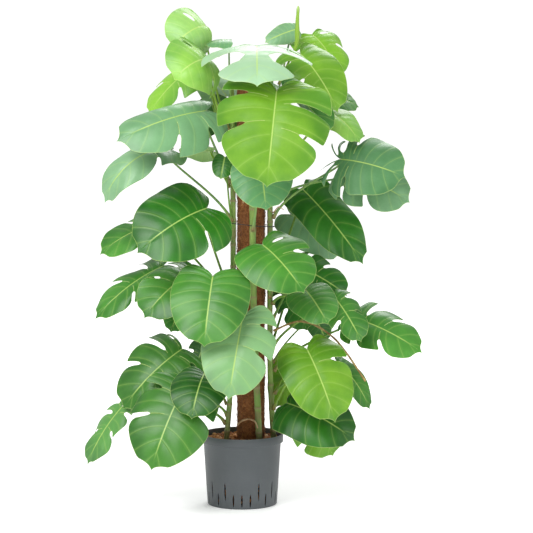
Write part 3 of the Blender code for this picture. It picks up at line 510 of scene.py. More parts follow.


def leaf_finish(name, colour, tone):
    """Glossy blade: paler midrib, side veins and rim, cloudy greens between, a dull pale underside. A high tone
    paints a sheen on it by paling its greens towards mint; a low tone darkens them.
    """
    made, tree = new_finish(name)
    # a high tone pales both greens towards the painted sheen; a low tone darkens them
    fresh, shade = (tuple(c * (1.0 + tone) if tone < 0 else c + tone * (pale - c) for c, pale in zip(look, PAINTED_SHEEN))
                    for look in LEAF_TONES[colour])
    place, out, under = tree.attribute("run")
    rim, side, _ = tree.attribute("edge")
    cloud = tree.noise(9.0, 3.0)
    fine = tree.noise(160.0, 2.0)
    vein = abs((place * VEINS + 0.25) % 1.0 - 0.5)
    base = tree.blend(cloud.band(0.32, 0.68), shade, fresh)
    base = tree.blend(out.band(1.0, 0.2) * 0.35, base, fresh)
    speck = tree.blend(fine * 0.30, base, shade)
    lines = (vein.band(0.050, 0.008) * 0.20 + vein.band(0.20, 0.0) * 0.12) * out.band(0.01, 0.06)
    veined = tree.blend(lines, speck, tuple(0.55 * v + 0.45 * f for v, f in zip(PALE_VEIN, fresh)))
    midrib = abs(side).band(0.0026, 0.0010) * place.band(0.995, 0.85)
    veined = tree.blend(midrib * 0.75, veined, PALE_VEIN)
    rimmed = tree.blend(rim.band(0.0016, 0.0003) * 0.60, veined, (0.46, 0.60, 0.18))
    dull = tree.blend(0.55, veined, tuple(0.5 * f + 0.16 for f in fresh))
    whole = tree.blend(under, rimmed, dull)
    relief = vein.band(0.10, 0.0) * 0.30 + fine * 0.10 + abs(side).band(0.004, 0.0) * 0.4
    rough = cloud * 0.10 + 0.32 + under * 0.20
    return finished(made, tree, whole, rough, relief, 0.0012, 0.7, Specular_IOR_Level=0.42)


def petiole_finish(name, colour):
    """Smooth green stalk, papery brown where it sheathes the stem and paler at the joint under the blade."""
    made, tree = new_finish(name)
    fresh = LEAF_TONES[colour][0]
    along, _, _ = tree.attribute("run")
    streak = tree.noise(60.0, 3.0, stretch=(1.0, 1.0, 0.15))
    green = tree.blend(streak.band(0.3, 0.7), tuple(0.5 * f + p for f, p in zip(fresh, (0.06, 0.09, 0.005))),
                       tuple(0.4 * f + p for f, p in zip(fresh, (0.16, 0.22, 0.03))))
    pale = tree.blend(along.band(0.86, 0.97) * 0.7, green, (0.42, 0.58, 0.20))
    old = tree.blend((along + streak * 0.05).band(0.13, 0.05) * 0.75, pale, (0.24, 0.13, 0.055))
    return finished(made, tree, old, streak * 0.2 + 0.38, streak, 0.0008, 0.4)


def pot_finish():
    """Moulded satin grey: a faint cloud of dust, fine turning marks, paler towards the top of the rim and darker
    towards the foot.
    """
    made, tree = new_finish("grey_moulded_plastic")
    place = tree.place()
    height = tree.node("ShaderNodeSeparateXYZ", None, {"Vector": place}, "Z")
    cloud = tree.noise(18.0, 4.0)
    grain = tree.noise(900.0, 2.0)
    turning = tree.noise(30.0, 2.0, stretch=(0.4, 0.4, 26.0))
    colour = tree.blend(cloud.band(0.3, 0.75) * 0.5, (0.070, 0.080, 0.086), (0.092, 0.103, 0.110))
    colour = tree.blend(turning.band(0.55, 0.8) * 0.20, colour, (0.125, 0.137, 0.144))
    # paler towards the top of the rim
    colour = tree.blend(height.band(0.1865, 0.190) * 0.35, colour, (0.17, 0.185, 0.19))
    # darker towards the foot
    colour = tree.blend(height.band(0.030, 0.0) * 0.30, colour, (0.050, 0.056, 0.060))
    return finished(made, tree, colour, cloud * 0.15 + 0.42, grain * 0.5 + turning, 0.0004, 0.35)


def granule_finish(name, dark):
    """Fired clay: each grain its own red-brown, matt, pitted and dusty. With dark set it is darkened as painted
    shade, for the fill under the grains.
    """
    made, tree = new_finish(name)
    shade, grit, _ = tree.attribute("run")
    mottle = tree.noise(240.0, 3.0)
    colour = tree.ramp(shade, (0.0, (0.150, 0.048, 0.012)), (0.35, (0.330, 0.115, 0.026)),
                       (0.70, (0.520, 0.220, 0.060)), (0.93, (0.640, 0.340, 0.130)), (1.0, (0.740, 0.560, 0.360)))
    colour = tree.blend(mottle.band(0.45, 0.75) * 0.35, colour, (0.13, 0.055, 0.025))
    # painted shade: the fill under the grains is darkened to stand for the shadow among them
    if dark:
        colour = tree.blend(0.7, colour, (0.02, 0.010, 0.006))
    return finished(made, tree, colour, mottle * 0.2 + 0.75, mottle, 0.0012, 0.8)


def coir_finish(name, light):
    """Matted coconut husk: red-brown strands with painted shade in the gaps between them and dry pale ends; light
    scales every colour, up as painted light on the loose strands and down as painted shade on the matted body.
    """
    made, tree = new_finish(name)
    strand = tree.noise(150.0, 5.0, roughness=0.7)
    cloud = tree.noise(16.0, 3.0)
    # light scales the colours: above 1 paints light on the loose strands, below 1 paints shade on the matted body
    # under them
    low, middle, high = (tuple(light * c for c in colour) for colour in (
        (0.090, 0.026, 0.008), (0.300, 0.105, 0.026), (0.520, 0.250, 0.085)))
    # the darkest stop paints shade in the gaps between strands
    colour = tree.ramp(strand, (0.25, low), (0.52, middle), (0.80, high))
    colour = tree.blend(cloud.band(0.4, 0.7) * 0.45, colour, tuple(0.5 * c for c in middle))
    return finished(made, tree, colour, 0.92, strand, 0.004, 0.9)


def stem_finish():
    """Thick green stem with corky rings and brown scars where leaves were."""
    made, tree = new_finish("green_stem")
    along, turn, ring = tree.attribute("run")
    streak = tree.noise(90.0, 4.0, stretch=(1.0, 1.0, 0.2))
    cloud = tree.noise(22.0, 3.0)
    green = tree.blend(streak.band(0.3, 0.7), (0.115, 0.225, 0.035), (0.230, 0.340, 0.070))
    aged = tree.blend(cloud.band(0.50, 0.66) * 0.65, green, (0.200, 0.150, 0.060))
    colour = tree.blend(ring * 0.85, aged, (0.270, 0.185, 0.100))
    foot = tree.blend(along.band(0.14, 0.02) * 0.7, colour, (0.170, 0.120, 0.060))
    return finished(made, tree, foot, streak * 0.2 + 0.45, streak + ring, 0.0012, 0.6)


def bark_finish(name, low, high, scale=120.0):
    """Dry woody skin with lengthwise cracks."""
    made, tree = new_finish(name)
    crack = tree.noise(scale, 4.0, roughness=0.65, stretch=(1.0, 1.0, 0.35))
    colour = tree.blend(crack.band(0.32, 0.68), low, high)
    return finished(made, tree, colour, crack * 0.2 + 0.65, crack, 0.0012, 0.7)


def tie_finish():
    made, tree = new_finish("black_tie")
    wear = tree.noise(220.0, 3.0)
    colour = tree.blend(wear.band(0.4, 0.7), (0.008, 0.008, 0.009), (0.035, 0.034, 0.032))
    return finished(made, tree, colour, wear * 0.3 + 0.4, wear, 0.0004, 0.5)


# ---------------------------------------------------------------- leaves

def margin_point(place):
    """Points of the margin by a smooth curve through HEART; place runs from the sinus to the tip."""
    last = len(HEART) - 1
    at = np.clip(place, 0.0, 1.0) * last
    i = np.minimum(at.astype(int), last - 1)
    t = (at - i)[..., None]
    a, b, c, d = (HEART[np.clip(i + k, 0, last)] for k in (-1, 0, 1, 2))
    curve = 0.5 * (2 * b + (c - a) * t + (2 * a - 5 * b + 4 * c - d) * t * t + (3 * b - a - 3 * c + d) * t ** 3)
    drip = (1 - t) ** 2 * b + 2 * t * (1 - t) * TIP_BEND + t * t * c
    return np.where((i == last - 1)[..., None], drip, curve)


def vein_point(place, out):
    """Points on the side veins that reach the margin at these places, out of 1, in blade lengths."""
    place, out = np.broadcast_arrays(np.asarray(place, float), np.asarray(out, float))
    start = np.zeros(place.shape + (2,))
    start[..., 1] = 0.92 * np.maximum(0.0, (place - FAN) / (1 - FAN)) ** 1.45
    end = margin_point(place)
    reach = end - start
    bow = BOW * np.minimum(1.0, 4 * (1 - np.minimum(place, 1.0)))[..., None]
    bend = start + 0.5 * reach + bow * np.stack((reach[..., 1], -reach[..., 0]), -1)
    out = out[..., None]
    return (1 - out) ** 2 * start + 2 * out * (1 - out) * bend + out * out * end


class Blade:
    """Bends the flat heart of one leaf into space."""

    def __init__(self, leaf):
        self.leaf = leaf
        along = leaf.tip - leaf.attach
        chord = along.length
        self.length = chord * leaf.droop / 2 / math.sin(leaf.droop / 2)
        self.curve = leaf.droop / self.length
        self.stretch = leaf.width / 1.01
        along.normalize()
        face = (leaf.face - along * leaf.face.dot(along)).normalized()
        tilt = leaf.droop / 2
        self.side = np.array(along.cross(face))
        self.along = np.array(along * math.cos(tilt) + face * math.sin(tilt))
        self.face = np.array(face * math.cos(tilt) - along * math.sin(tilt))

    def at(self, sign, u, v, lift):
        """World points of the blade: u to the side and v along the midrib in metres, lift along the face."""
        leaf = self.leaf
        u, v, lift = np.broadcast_arrays(np.asarray(u, float), np.asarray(v, float), np.asarray(lift, float))
        bend = self.curve * np.where(v > 0, v, 0.4 * v)
        run = np.where(v > 0, np.sin(bend) / self.curve, v * np.cos(bend))
        drop = np.where(v > 0, (1 - np.cos(bend)) / self.curve, v * np.sin(bend))
        sag = leaf.sag[0] if sign > 0 else leaf.sag[1]
        lean = leaf.fold - sag * u / leaf.width
        cosine, sine, u, lift = (a[..., None] for a in (np.cos(lean), np.sin(lean), u, lift))
        bend = bend[..., None]
        normal = self.face * np.cos(bend) + self.along * np.sin(bend)
        centre = np.array(leaf.attach) + self.along * run[..., None] - self.face * drop[..., None]
        return centre + (self.side * sign * cosine + normal * sine) * u + normal * lift * cosine


ROWS = np.array((0.0, 0.012, 0.030, 0.060, 0.10, 0.15, 0.20, 0.25, 0.30, 0.35, 0.40, 0.45, 0.50, 0.525, 0.56, 0.60,
                 0.65, 0.70, 0.75, 0.80, 0.85, 0.89, 0.92, 0.945, 0.965, 0.98, 0.99, 1.0))
COLUMN = 0.016        # mesh columns along the margin
NEAR_CUT = (0.004, 0.010, 0.020)   # extra columns on both sides of a cut


def columns_of(leaf):
    """Places along the margin where the mesh has a column, closer together near a cut."""
    places = set(np.round(np.linspace(0.0, 1.0, round(1 / COLUMN) + 1), 4).tolist())
    cuts = {cut[0] for cut in leaf.right + leaf.left}
    for cut in cuts:
        places = {p for p in places if abs(p - cut) > 0.025}
    for cut in cuts:
        places |= {cut} | {round(cut + sign * step, 4) for step in NEAR_CUT for sign in (-1, 1)}
    return np.array(sorted(places | {0.985, 0.993}))


def cut_shift(blade, cut, out):
    """How far along the margin the edge of a cut stands from its middle at each row."""
    place, inner, outer, half = cut
    if outer >= 1:
        share = np.clip((out - inner) / (1 - inner), 0.0, 1.0)
        gap = half * np.minimum(1.0, share / 0.16) ** 0.5 * (0.70 + 0.85 * share)
    else:
        share = np.clip((out - inner) / (outer - inner), 0.0, 1.0)
        gap = half * np.sqrt(np.sin(math.pi * share).clip(0.0))
    ahead = (vein_point(place + 0.01, out) - vein_point(place - 0.01, out)) * (blade.stretch, blade.length)
    return gap * 0.02 / np.maximum(np.linalg.norm(ahead, axis=-1), 0.0008)


def blade_strips(leaf, blade, dice):
    """Points, faces and marks of the blade as strips between its cuts, not yet welded."""
    columns = columns_of(leaf)
    out = ROWS[:, None]
    parts = []
    wave = [(dice.uniform(0.0, math.tau), dice.uniform(2.0, 3.6)) for _ in range(2)]
    for sign, cuts in ((1, leaf.right), (-1, leaf.left)):
        edges = [(0.0, 2.0, 1.0, 0.0)] + list(cuts) + [(1.0, 2.0, 1.0, 0.0)]
        for first, second in zip(edges, edges[1:]):
            places = columns[(columns >= first[0] - 1e-6) & (columns <= second[0] + 1e-6)][None]
            share = (places - first[0]) / (second[0] - first[0])
            place = places + np.zeros_like(out)
            pull = np.zeros_like(place)
            lift = np.zeros_like(place)
            for cut, weight, away in ((first, 1 - share, 1), (second, share, -1)):
                if cut[1] > 1:
                    continue
                place = place + away * weight * cut_shift(blade, cut, out[:, 0])[:, None]
                opened = np.clip((out - cut[1]) / max(cut[2] - cut[1], 0.1), 0.0, 1.0)
                if cut[2] >= 1:
                    ahead = (vein_point(cut[0] + 0.01, 1.0) - vein_point(cut[0] - 0.01, 1.0))
                    scale = np.linalg.norm(ahead * (blade.stretch, blade.length)) / 0.02
                    span = np.linalg.norm((vein_point(cut[0], 1.0) - vein_point(cut[0], 0.0))
                                          * (blade.stretch, blade.length))
                    turn = (0.035 if away < 0 else 0.11) * blade.length
                    near = np.clip(turn - np.abs(places - cut[0]) * scale, 0.0, turn)
                    pull = pull + (turn - np.sqrt(turn * turn - near * near)) * 0.8 / span
                    swing = dice.uniform(-1.0, 0.7) * SWING * blade.length
                    lift = lift + weight ** 2 * swing * opened ** 1.5
            bent = out - pull * out ** 4
            flat = vein_point(place, bent)
            along = flat[..., 1] * np.where(flat[..., 1] < 0, leaf.ears, 1.0) * blade.length
            aside = flat[..., 0] * blade.stretch
            quilt = np.abs(np.sin(math.pi * (place * VEINS - 0.25))) ** 0.7
            lift = lift + QUILT * blade.length * quilt * np.minimum(1.0, 5 * out) * (1 - 0.5 * out) \
                * np.clip((1 - place) * 12, 0.0, 1.0)
            angle, count = wave[0 if sign > 0 else 1]
            lift = lift + WAVE * blade.length * np.sin(angle + count * math.tau * place) * out ** 3 \
                * np.clip((1 - place) * 4, 0.0, 1.0) * np.clip(place * 6, 0.0, 1.0)
            points = blade.at(sign, aside, along, lift)
            rows, width = place.shape
            i = (np.arange(rows - 1)[:, None] * width + np.arange(width - 1)[None]).ravel()
            quads = np.stack((i, i + 1, i + width + 1, i + width), -1)
            quads = quads[:, ::-1] if sign > 0 else quads
            marks = np.stack((place, out + np.zeros_like(place), aside, along / blade.length), -1)
            parts.append((points.reshape(-1, 3), [tuple(q) for q in quads.tolist()], marks.reshape(-1, 4)))
    return joined(*parts)


def welded(points, faces, marks):
    """The sheet with coincident points made one: arrays of points, faces and marks."""
    sheet = bpy.data.meshes.new("sheet")
    sheet.from_pydata(points.tolist(), [], faces)
    layer = sheet.attributes.new("source", "INT", "POINT")
    layer.data.foreach_set("value", np.arange(len(points), dtype=np.int32))
    work = bmesh.new()
    work.from_mesh(sheet)
    bmesh.ops.remove_doubles(work, verts=work.verts, dist=2e-5)
    work.to_mesh(sheet)
    work.free()
    source = np.empty(len(sheet.vertices), np.int32)
    sheet.attributes["source"].data.foreach_get("value", source)
    faces = [tuple(face.vertices) for face in sheet.polygons]
    bpy.data.meshes.remove(sheet)
    return points[source], faces, marks[source]


def face_normals(points, faces):
    """Normals of the vertices, from the faces round them."""
    normals = np.zeros_like(points)
    for size in (3, 4):
        some = np.array([face for face in faces if len(face) == size])
        if len(some):
            flat = np.cross(points[some[:, 2]] - points[some[:, 0]], points[some[:, -1]] - points[some[:, 1]])
            for k in range(size):
                np.add.at(normals, some[:, k], flat)
    return normals / np.maximum(np.linalg.norm(normals, axis=1), 1e-12)[:, None]


def thickened(points, faces, marks, leaf, blade):
    """The sheet with its two skins and its rim, and its midrib standing out underneath."""
    normals = face_normals(points, faces)
    ways = {(a, b) for face in faces for a, b in zip(face, face[1:] + face[:1])}
    border = [(a, b) for a, b in ways if (b, a) not in ways]
    border.sort()
    edge_points = sorted({a for pair in border for a in pair})
    tree = KDTree(len(edge_points))
    for k, index in enumerate(edge_points):
        tree.insert(points[index], k)
    tree.balance()
    far = np.array([tree.find(point)[2] for point in points])
    thin = RIM_SKIN + MORE_SKIN * np.clip(far / 0.003, 0.0, 1.0)
    shrink = np.clip(1.05 - marks[:, 3], 0.1, 1.0)
    rib = RIB * np.exp(-(marks[:, 2] / (0.0028 * shrink)) ** 2) * shrink * np.clip(far / 0.004, 0.0, 1.0)
    top = points + normals * thin[:, None] / 2
    under = points - normals * (thin / 2 + rib)[:, None]
    count = len(points)
    faces = faces + [tuple(i + count for i in face[::-1]) for face in faces] + [
        (b, a, a + count, b + count) for a, b in border]
    run = np.concatenate([np.stack((marks[:, 0], marks[:, 1], np.full(count, v)), -1) for v in (0.0, 1.0)])
    edge = np.stack((far, marks[:, 2], marks[:, 3]), -1)
    return np.concatenate((top, under)), faces, run, np.concatenate((edge, edge))


def stem_at(stem, height):
    """Point on the axis of a stem at this height."""
    points = STEMS[stem]
    for low, high in zip(points, points[1:]):
        if height <= high[2] or high is points[-1]:
            share = (height - low[2]) / (high[2] - low[2])
            return Vector(low).lerp(Vector(high), share)


def petiole_course(leaf, blade, steps):
    """From just off the stem, up and out, to the underside of the blade near its base."""
    axis = stem_at(leaf.stem, leaf.root)
    outward = Vector((leaf.attach.x - axis.x, leaf.attach.y - axis.y, 0.0)).normalized()
    start = axis + outward * (STEM_RADII[leaf.stem] * 0.75)
    end = Vector(blade.at(1, 0.0, 0.03 * blade.length, -0.0012))
    span = (end - start).length
    leave = (outward * 0.5 + Vector((0, 0, 1.0))) * span * 0.9
    arrive = (Vector(blade.face) * 0.75 + outward * 0.3 + Vector((0, 0, 0.4 - leaf.rise))) * span * 0.8
    t = np.linspace(0.0, 1.0, steps)[:, None]
    start, leave, end, arrive = (np.array(v) for v in (start, leave, end, arrive))
    return ((2 * t ** 3 - 3 * t * t + 1) * start + (t ** 3 - 2 * t * t + t) * leave
            + (3 * t * t - 2 * t ** 3) * end + (t ** 3 - t * t) * arrive)


def petiole(leaf, blade):
    """The stalk: a clasping sheath at the stem, a slim run and a thicker joint under the blade."""
    steps = 30
    t = np.linspace(0.0, 1.0, steps)
    sheath, joint = np.exp(-(t / 0.07) ** 2), np.exp(-((t - 0.93) / 0.035) ** 2)
    radii = leaf.stalk * (1.20 - 0.40 * t + 0.75 * sheath + 0.32 * joint)
    radii[-1] *= 0.5
    return tube(petiole_course(leaf, blade, steps), radii, 10)


def draw_leaf(leaf, stalk_finishes):
    dice = random.Random(leaf.name)
    blade = Blade(leaf)
    sheet = welded(*blade_strips(leaf, blade, dice))
    points, faces, run, edge = thickened(*sheet, leaf, blade)
    stalk = petiole(leaf, blade)
    start = len(points)
    stalk_faces = [tuple(i + start for i in face) for face in stalk[1]]
    points = np.concatenate((points, stalk[0]))
    run = np.concatenate((run, stalk[2]))
    edge = np.concatenate((edge, np.tile((0.02, 0.02, 0.0), (len(stalk[0]), 1))))
    mesh = mesh_from(leaf.name, settled(points, leaf.name), faces + stalk_faces, run, edge)
    index = [0] * len(faces) + [1] * len(stalk_faces)
    mesh.polygons.foreach_set("material_index", index)
    finish = leaf_finish(leaf.name + "_skin", leaf.colour, leaf.tone + dice.uniform(-0.08, 0.08))
    put("visual_" + leaf.name, mesh, (finish, stalk_finishes[leaf.colour]), "leaf_" + leaf.colour, leaf.name)


# ---------------------------------------------------------------- pot, granules, pole, stems and trims

def lathe(profile, sides):
    """Points and faces of a closed profile of (radius, height), from the axis to the axis, turned about Z."""
    profile = np.asarray(profile, float)
    turn = np.arange(sides) / sides * math.tau
    ring = np.stack((np.cos(turn), np.sin(turn)), -1)
    middle = profile[1:-1]
    points = np.concatenate([np.concatenate((ring * r, np.full((sides, 1), z)), 1) for r, z in middle]
                            + [np.array(((0, 0, profile[0][1]), (0, 0, profile[-1][1])))])
    rows = len(middle)
    k = np.arange(rows - 1)[:, None] * sides
    s = np.arange(sides)[None]
    n = (s + 1) % sides
    faces = [tuple(f) for f in np.stack((k + s, k + n, k + sides + n, k + sides + s), -1).reshape(-1, 4).tolist()]
    foot, top, last = rows * sides, rows * sides + 1, (rows - 1) * sides
    faces += [(foot, (i + 1) % sides, i) for i in range(sides)]
    faces += [(top, last + i, last + (i + 1) % sides) for i in range(sides)]
    return points, faces


def slot_cutters(settings):
    """The ring of upright bars that cut the water slots: low ones, and higher ones at the sides and back."""
    inputs = (("Slots", "NodeSocketInt", settings.slots), ("Slot width", "NodeSocketFloat", settings.slot_width),
              ("Wall radius", "NodeSocketFloat", (settings.base_radius + settings.wall_radius) / 2))
    group, tree, given = shape_tree("slot_ring", *inputs)
    slots, width, radius = (given.other(name) for name in ("Slots", "Slot width", "Wall radius"))
    index = tree.node("GeometryNodeInputIndex")
    step = index.least(slots - index)
    low = (step % 2.0).above(0.5).most(1.0 - step.above(1.5))
    angle = index / slots * math.tau - math.pi / 2
    middle = low * 0.023 + (1.0 - low) * 0.046
    height = low * 0.034 + (1.0 - low) * 0.048
    place = tree.node("ShaderNodeCombineXYZ", None, {
        "X": radius * angle.maths("COSINE", angle), "Y": radius * angle.maths("SINE", angle), "Z": middle})
    points = tree.node("GeometryNodePoints", None, {"Count": slots, "Position": place})
    bar = tree.node("GeometryNodeMeshCylinder", None, {"Vertices": 16, "Radius": 0.5, "Depth": 0.03})
    bar = tree.node("GeometryNodeTransform", None, {"Geometry": bar, "Rotation": (0.0, math.pi / 2, 0.0)})
    turned = tree.node("ShaderNodeCombineXYZ", None, {"Z": angle})
    size = tree.node("ShaderNodeCombineXYZ", None, {"X": 1.0, "Y": width, "Z": height})
    bars = tree.node("GeometryNodeInstanceOnPoints", None, {
        "Points": points, "Instance": bar, "Rotation": turned, "Scale": size})
    end_shape(tree, bars, None)
    return grown("slot_cutters", bpy.data.meshes.new("empty"), group, inputs)


def draw_pot(settings):
    """The pot: thin flared wall with its slots, a rolled rim band with a thin lip, and a flat floor."""
    high, rim, base, wall = settings.height, settings.rim_radius, settings.base_radius, settings.wall_radius
    under = high - settings.rim_band
    profile = ((0.0, 0.0), (base - 0.006, 0.0), (base - 0.0015, 0.0004), (base, 0.0022),
               (base + (wall - base) * 0.25, under * 0.25), (base + (wall - base) * 0.5, under * 0.5),
               (base + (wall - base) * 0.75, under * 0.75), (wall, under - 0.0015), (wall + 0.0006, under - 0.0004),
               (rim - 0.0016, under), (rim - 0.0004, under + 0.0005), (rim, under + 0.0016),
               (rim, high - 0.0014), (rim - 0.0005, high - 0.0004), (rim - 0.0014, high),
               (rim - 0.0022, high), (rim - 0.0029, high - 0.0006), (rim - 0.0031, high - 0.0016),
               (rim - 0.0031, under + 0.004), (wall - POT_WALL, under - 0.003), (base - POT_WALL, 0.003),
               (0.0, 0.003))
    points, faces = lathe(profile, 208)
    pot = bpy.data.objects.new("pot_wall", mesh_from("pot_wall", points, faces))
    cutters = bpy.data.objects.new("slot_cutters", slot_cutters(settings))
    for made in (pot, cutters):
        bpy.context.scene.collection.objects.link(made)
    cut = pot.modifiers.new("slots", "BOOLEAN")
    cut.operation, cut.solver, cut.object = "DIFFERENCE", "EXACT", cutters
    bpy.context.view_layer.update()
    mesh = bpy.data.meshes.new_from_object(pot.evaluated_get(bpy.context.evaluated_depsgraph_get()))
    bpy.data.objects.remove(pot)
    bpy.data.objects.remove(cutters)
    mesh.polygons.foreach_set("use_smooth", [True] * len(mesh.polygons))
    mesh.set_sharp_from_angle(angle=math.radians(32))
    put("visual_pot", mesh, (pot_finish(),), "pot", "pot")


def grain_tree(finish, inputs):
    """Lumpy grains of mixed sizes over the faces of the base mesh."""
    group, tree, given = shape_tree("clay_granules", *inputs)
    scatter = tree.node("GeometryNodeDistributePointsOnFaces", {"distribute_method": "POISSON"}, {
        "Mesh": given, "Distance Min": given.other("Gap"), "Density Max": given.other("Density"),
        "Density Factor": 1.0, "Seed": given.other("Seed")})
    chance = tree.node("FunctionNodeRandomValue", {"data_type": "FLOAT"}, {
        2: 0.0, 3: 1.0, "Seed": 3}, output=1)
    spin = tree.node("FunctionNodeRandomValue", {"data_type": "FLOAT_VECTOR"}, {
        0: (0.0, 0.0, 0.0), 1: (math.tau, math.tau, math.tau), "Seed": 4})
    squash = tree.node("FunctionNodeRandomValue", {"data_type": "FLOAT_VECTOR"}, {
        0: (0.75, 0.65, 0.55), 1: (1.15, 1.0, 0.9), "Seed": 5})
    spread = tree.node("ShaderNodeMapRange", None, {
        "Value": chance.maths("POWER", chance, 1.8), "To Min": given.other("Smallest"),
        "To Max": given.other("Largest")})
    size = tree.node("ShaderNodeVectorMath", {"operation": "SCALE"}, {"Vector": squash, "Scale": spread})
    shade = tree.node("FunctionNodeRandomValue", {"data_type": "FLOAT_VECTOR"}, {
        0: (0.0, 0.0, 0.0), 1: (1.0, 1.0, 1.0), "Seed": 6})
    ball = tree.node("GeometryNodeMeshIcoSphere", None, {"Radius": 1.0, "Subdivisions": 2})
    grains = tree.node("GeometryNodeInstanceOnPoints", None, {
        "Points": scatter, "Instance": ball, "Rotation": spin, "Scale": size})
    marked = tree.node("GeometryNodeStoreNamedAttribute", {"data_type": "FLOAT_VECTOR", "domain": "INSTANCE"}, {
        "Geometry": grains, "Name": "run", "Value": shade})
    loose = tree.node("GeometryNodeRealizeInstances", None, {"Geometry": marked})
    lumps = tree.node("ShaderNodeTexNoise", {"noise_dimensions": "3D"}, {"Scale": 150.0, "Detail": 1.0}, output=1)
    centred = tree.node("ShaderNodeVectorMath", {"operation": "SUBTRACT"}, {0: lumps, 1: (0.5, 0.5, 0.5)})
    push = tree.node("ShaderNodeVectorMath", {"operation": "SCALE"}, {"Vector": centred, "Scale": 0.0055})
    lumpy = tree.node("GeometryNodeSetPosition", None, {"Geometry": loose, "Offset": push})
    end_shape(tree, lumpy, finish)
    return group


def draw_granules(settings):
    """A core of fill darkened as painted shade, with whole grains on top and behind the slots."""
    low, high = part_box("granules")
    top = high.z - 0.0085
    outer = settings.wall_radius - 0.0060
    foot = settings.base_radius - 0.0110
    skin = granule_finish("fired_clay", False)
    # the fill's finish is darkened as painted shade
    core = granule_finish("fired_clay_shadow", True)
    profile = ((0.0, low.z), (foot - 0.002, low.z), (foot, low.z + 0.004), (outer - 0.004, top - 0.010),
               (outer - 0.006, top - 0.006), (0.05, top - 0.005), (0.0, top - 0.005))
    points, faces = lathe(profile, 64)
    fill = mesh_from("fill", points, faces, run=np.full((len(points), 3), 0.2))
    fill.materials.append(core)
    count = 72
    turn = np.arange(count) / count * math.tau
    rings = [(0.030, top), (0.060, top), (0.086, top), (0.0985, top - 0.001)]
    bed = [(r * math.cos(a), r * math.sin(a), z) for r, z in rings for a in turn]
    flat = [(k * count + i, k * count + (i + 1) % count, (k + 1) * count + (i + 1) % count, (k + 1) * count + i)
            for k in range(3) for i in range(count)]
    wall = [(foot, 0.010), (foot + 0.0045, 0.078)]
    start = len(bed)
    bed += [(r * math.cos(a), r * math.sin(a), z) for r, z in wall for a in turn]
    flat += [(start + i, start + (i + 1) % count, start + count + (i + 1) % count, start + count + i)
             for i in range(count)]
    inputs = (("Gap", "NodeSocketFloat", settings.grain_gap), ("Density", "NodeSocketFloat", 40000.0),
              ("Smallest", "NodeSocketFloat", settings.smallest_grain / 2),
              ("Largest", "NodeSocketFloat", settings.largest_grain / 2), ("Seed", "NodeSocketInt", 11))
    grains = grown("grains", mesh_from("bed", bed, flat), grain_tree(skin, inputs), inputs, skin)
    mesh = merged(grains, fill)
    put("visual_granules", mesh, (), "granules", "granules")


def strand_tree(finish, inputs):
    """Short curved strands lying on the base mesh, turned a little either way from level."""
    group, tree, given = shape_tree("coir_strands", *inputs)
    scatter = tree.node("GeometryNodeDistributePointsOnFaces", None, {
        "Mesh": given, "Density": given.other("Density"), "Seed": given.other("Seed")})
    rough = tree.node("FunctionNodeRandomValue", {"data_type": "FLOAT_VECTOR"}, {
        0: (-0.45, -0.9, -1.1), 1: (0.45, 0.9, 1.1), "Seed": 3})
    grow = tree.node("FunctionNodeRandomValue", {"data_type": "FLOAT"}, {2: 0.45, 3: 1.15, "Seed": 4}, output=1)
    shade = tree.node("FunctionNodeRandomValue", {"data_type": "FLOAT_VECTOR"}, {
        0: (0.0, 0.0, 0.0), 1: (1.0, 1.0, 1.0), "Seed": 6})
    arc = tree.node("GeometryNodeCurvePrimitiveBezierSegment", None, {
        "Resolution": 5, "Start": (0.0, -0.5, -0.04), "Start Handle": (0.03, -0.2, 0.12),
        "End Handle": (-0.05, 0.2, 0.10), "End": (0.02, 0.5, -0.05)})
    facing = scatter.other("Rotation")
    turned = tree.node("FunctionNodeRotateRotation", {"rotation_space": "LOCAL"}, {
        "Rotation": facing, "Rotate By": tree.node("FunctionNodeEulerToRotation", None, {"Euler": rough})})
    length = given.other("Length")
    strands = tree.node("GeometryNodeInstanceOnPoints", None, {
        "Points": scatter, "Instance": arc, "Rotation": turned, "Scale": grow * length})
    marked = tree.node("GeometryNodeStoreNamedAttribute", {"data_type": "FLOAT_VECTOR", "domain": "INSTANCE"}, {
        "Geometry": strands, "Name": "run", "Value": shade})
    loose = tree.node("GeometryNodeRealizeInstances", None, {"Geometry": marked})
    ring = tree.node("GeometryNodeCurvePrimitiveCircle", None, {"Resolution": 3, "Radius": given.other("Thickness")})
    solid = tree.node("GeometryNodeCurveToMesh", None, {
        "Curve": loose, "Profile Curve": ring, "Fill Caps": True})
    end_shape(tree, solid, finish)
    return group


def pole_radius(turn, height):
    """Uneven radius of the coir wrap."""
    lumps = 0.0011 * np.sin(3 * turn + 31 * height) + 0.0008 * np.sin(5 * turn - 57 * height)
    fine = 0.0009 * np.sin(11 * turn + 160 * height) * np.sin(7 * turn - 230 * height)
    return POLE_RADIUS + lumps + fine


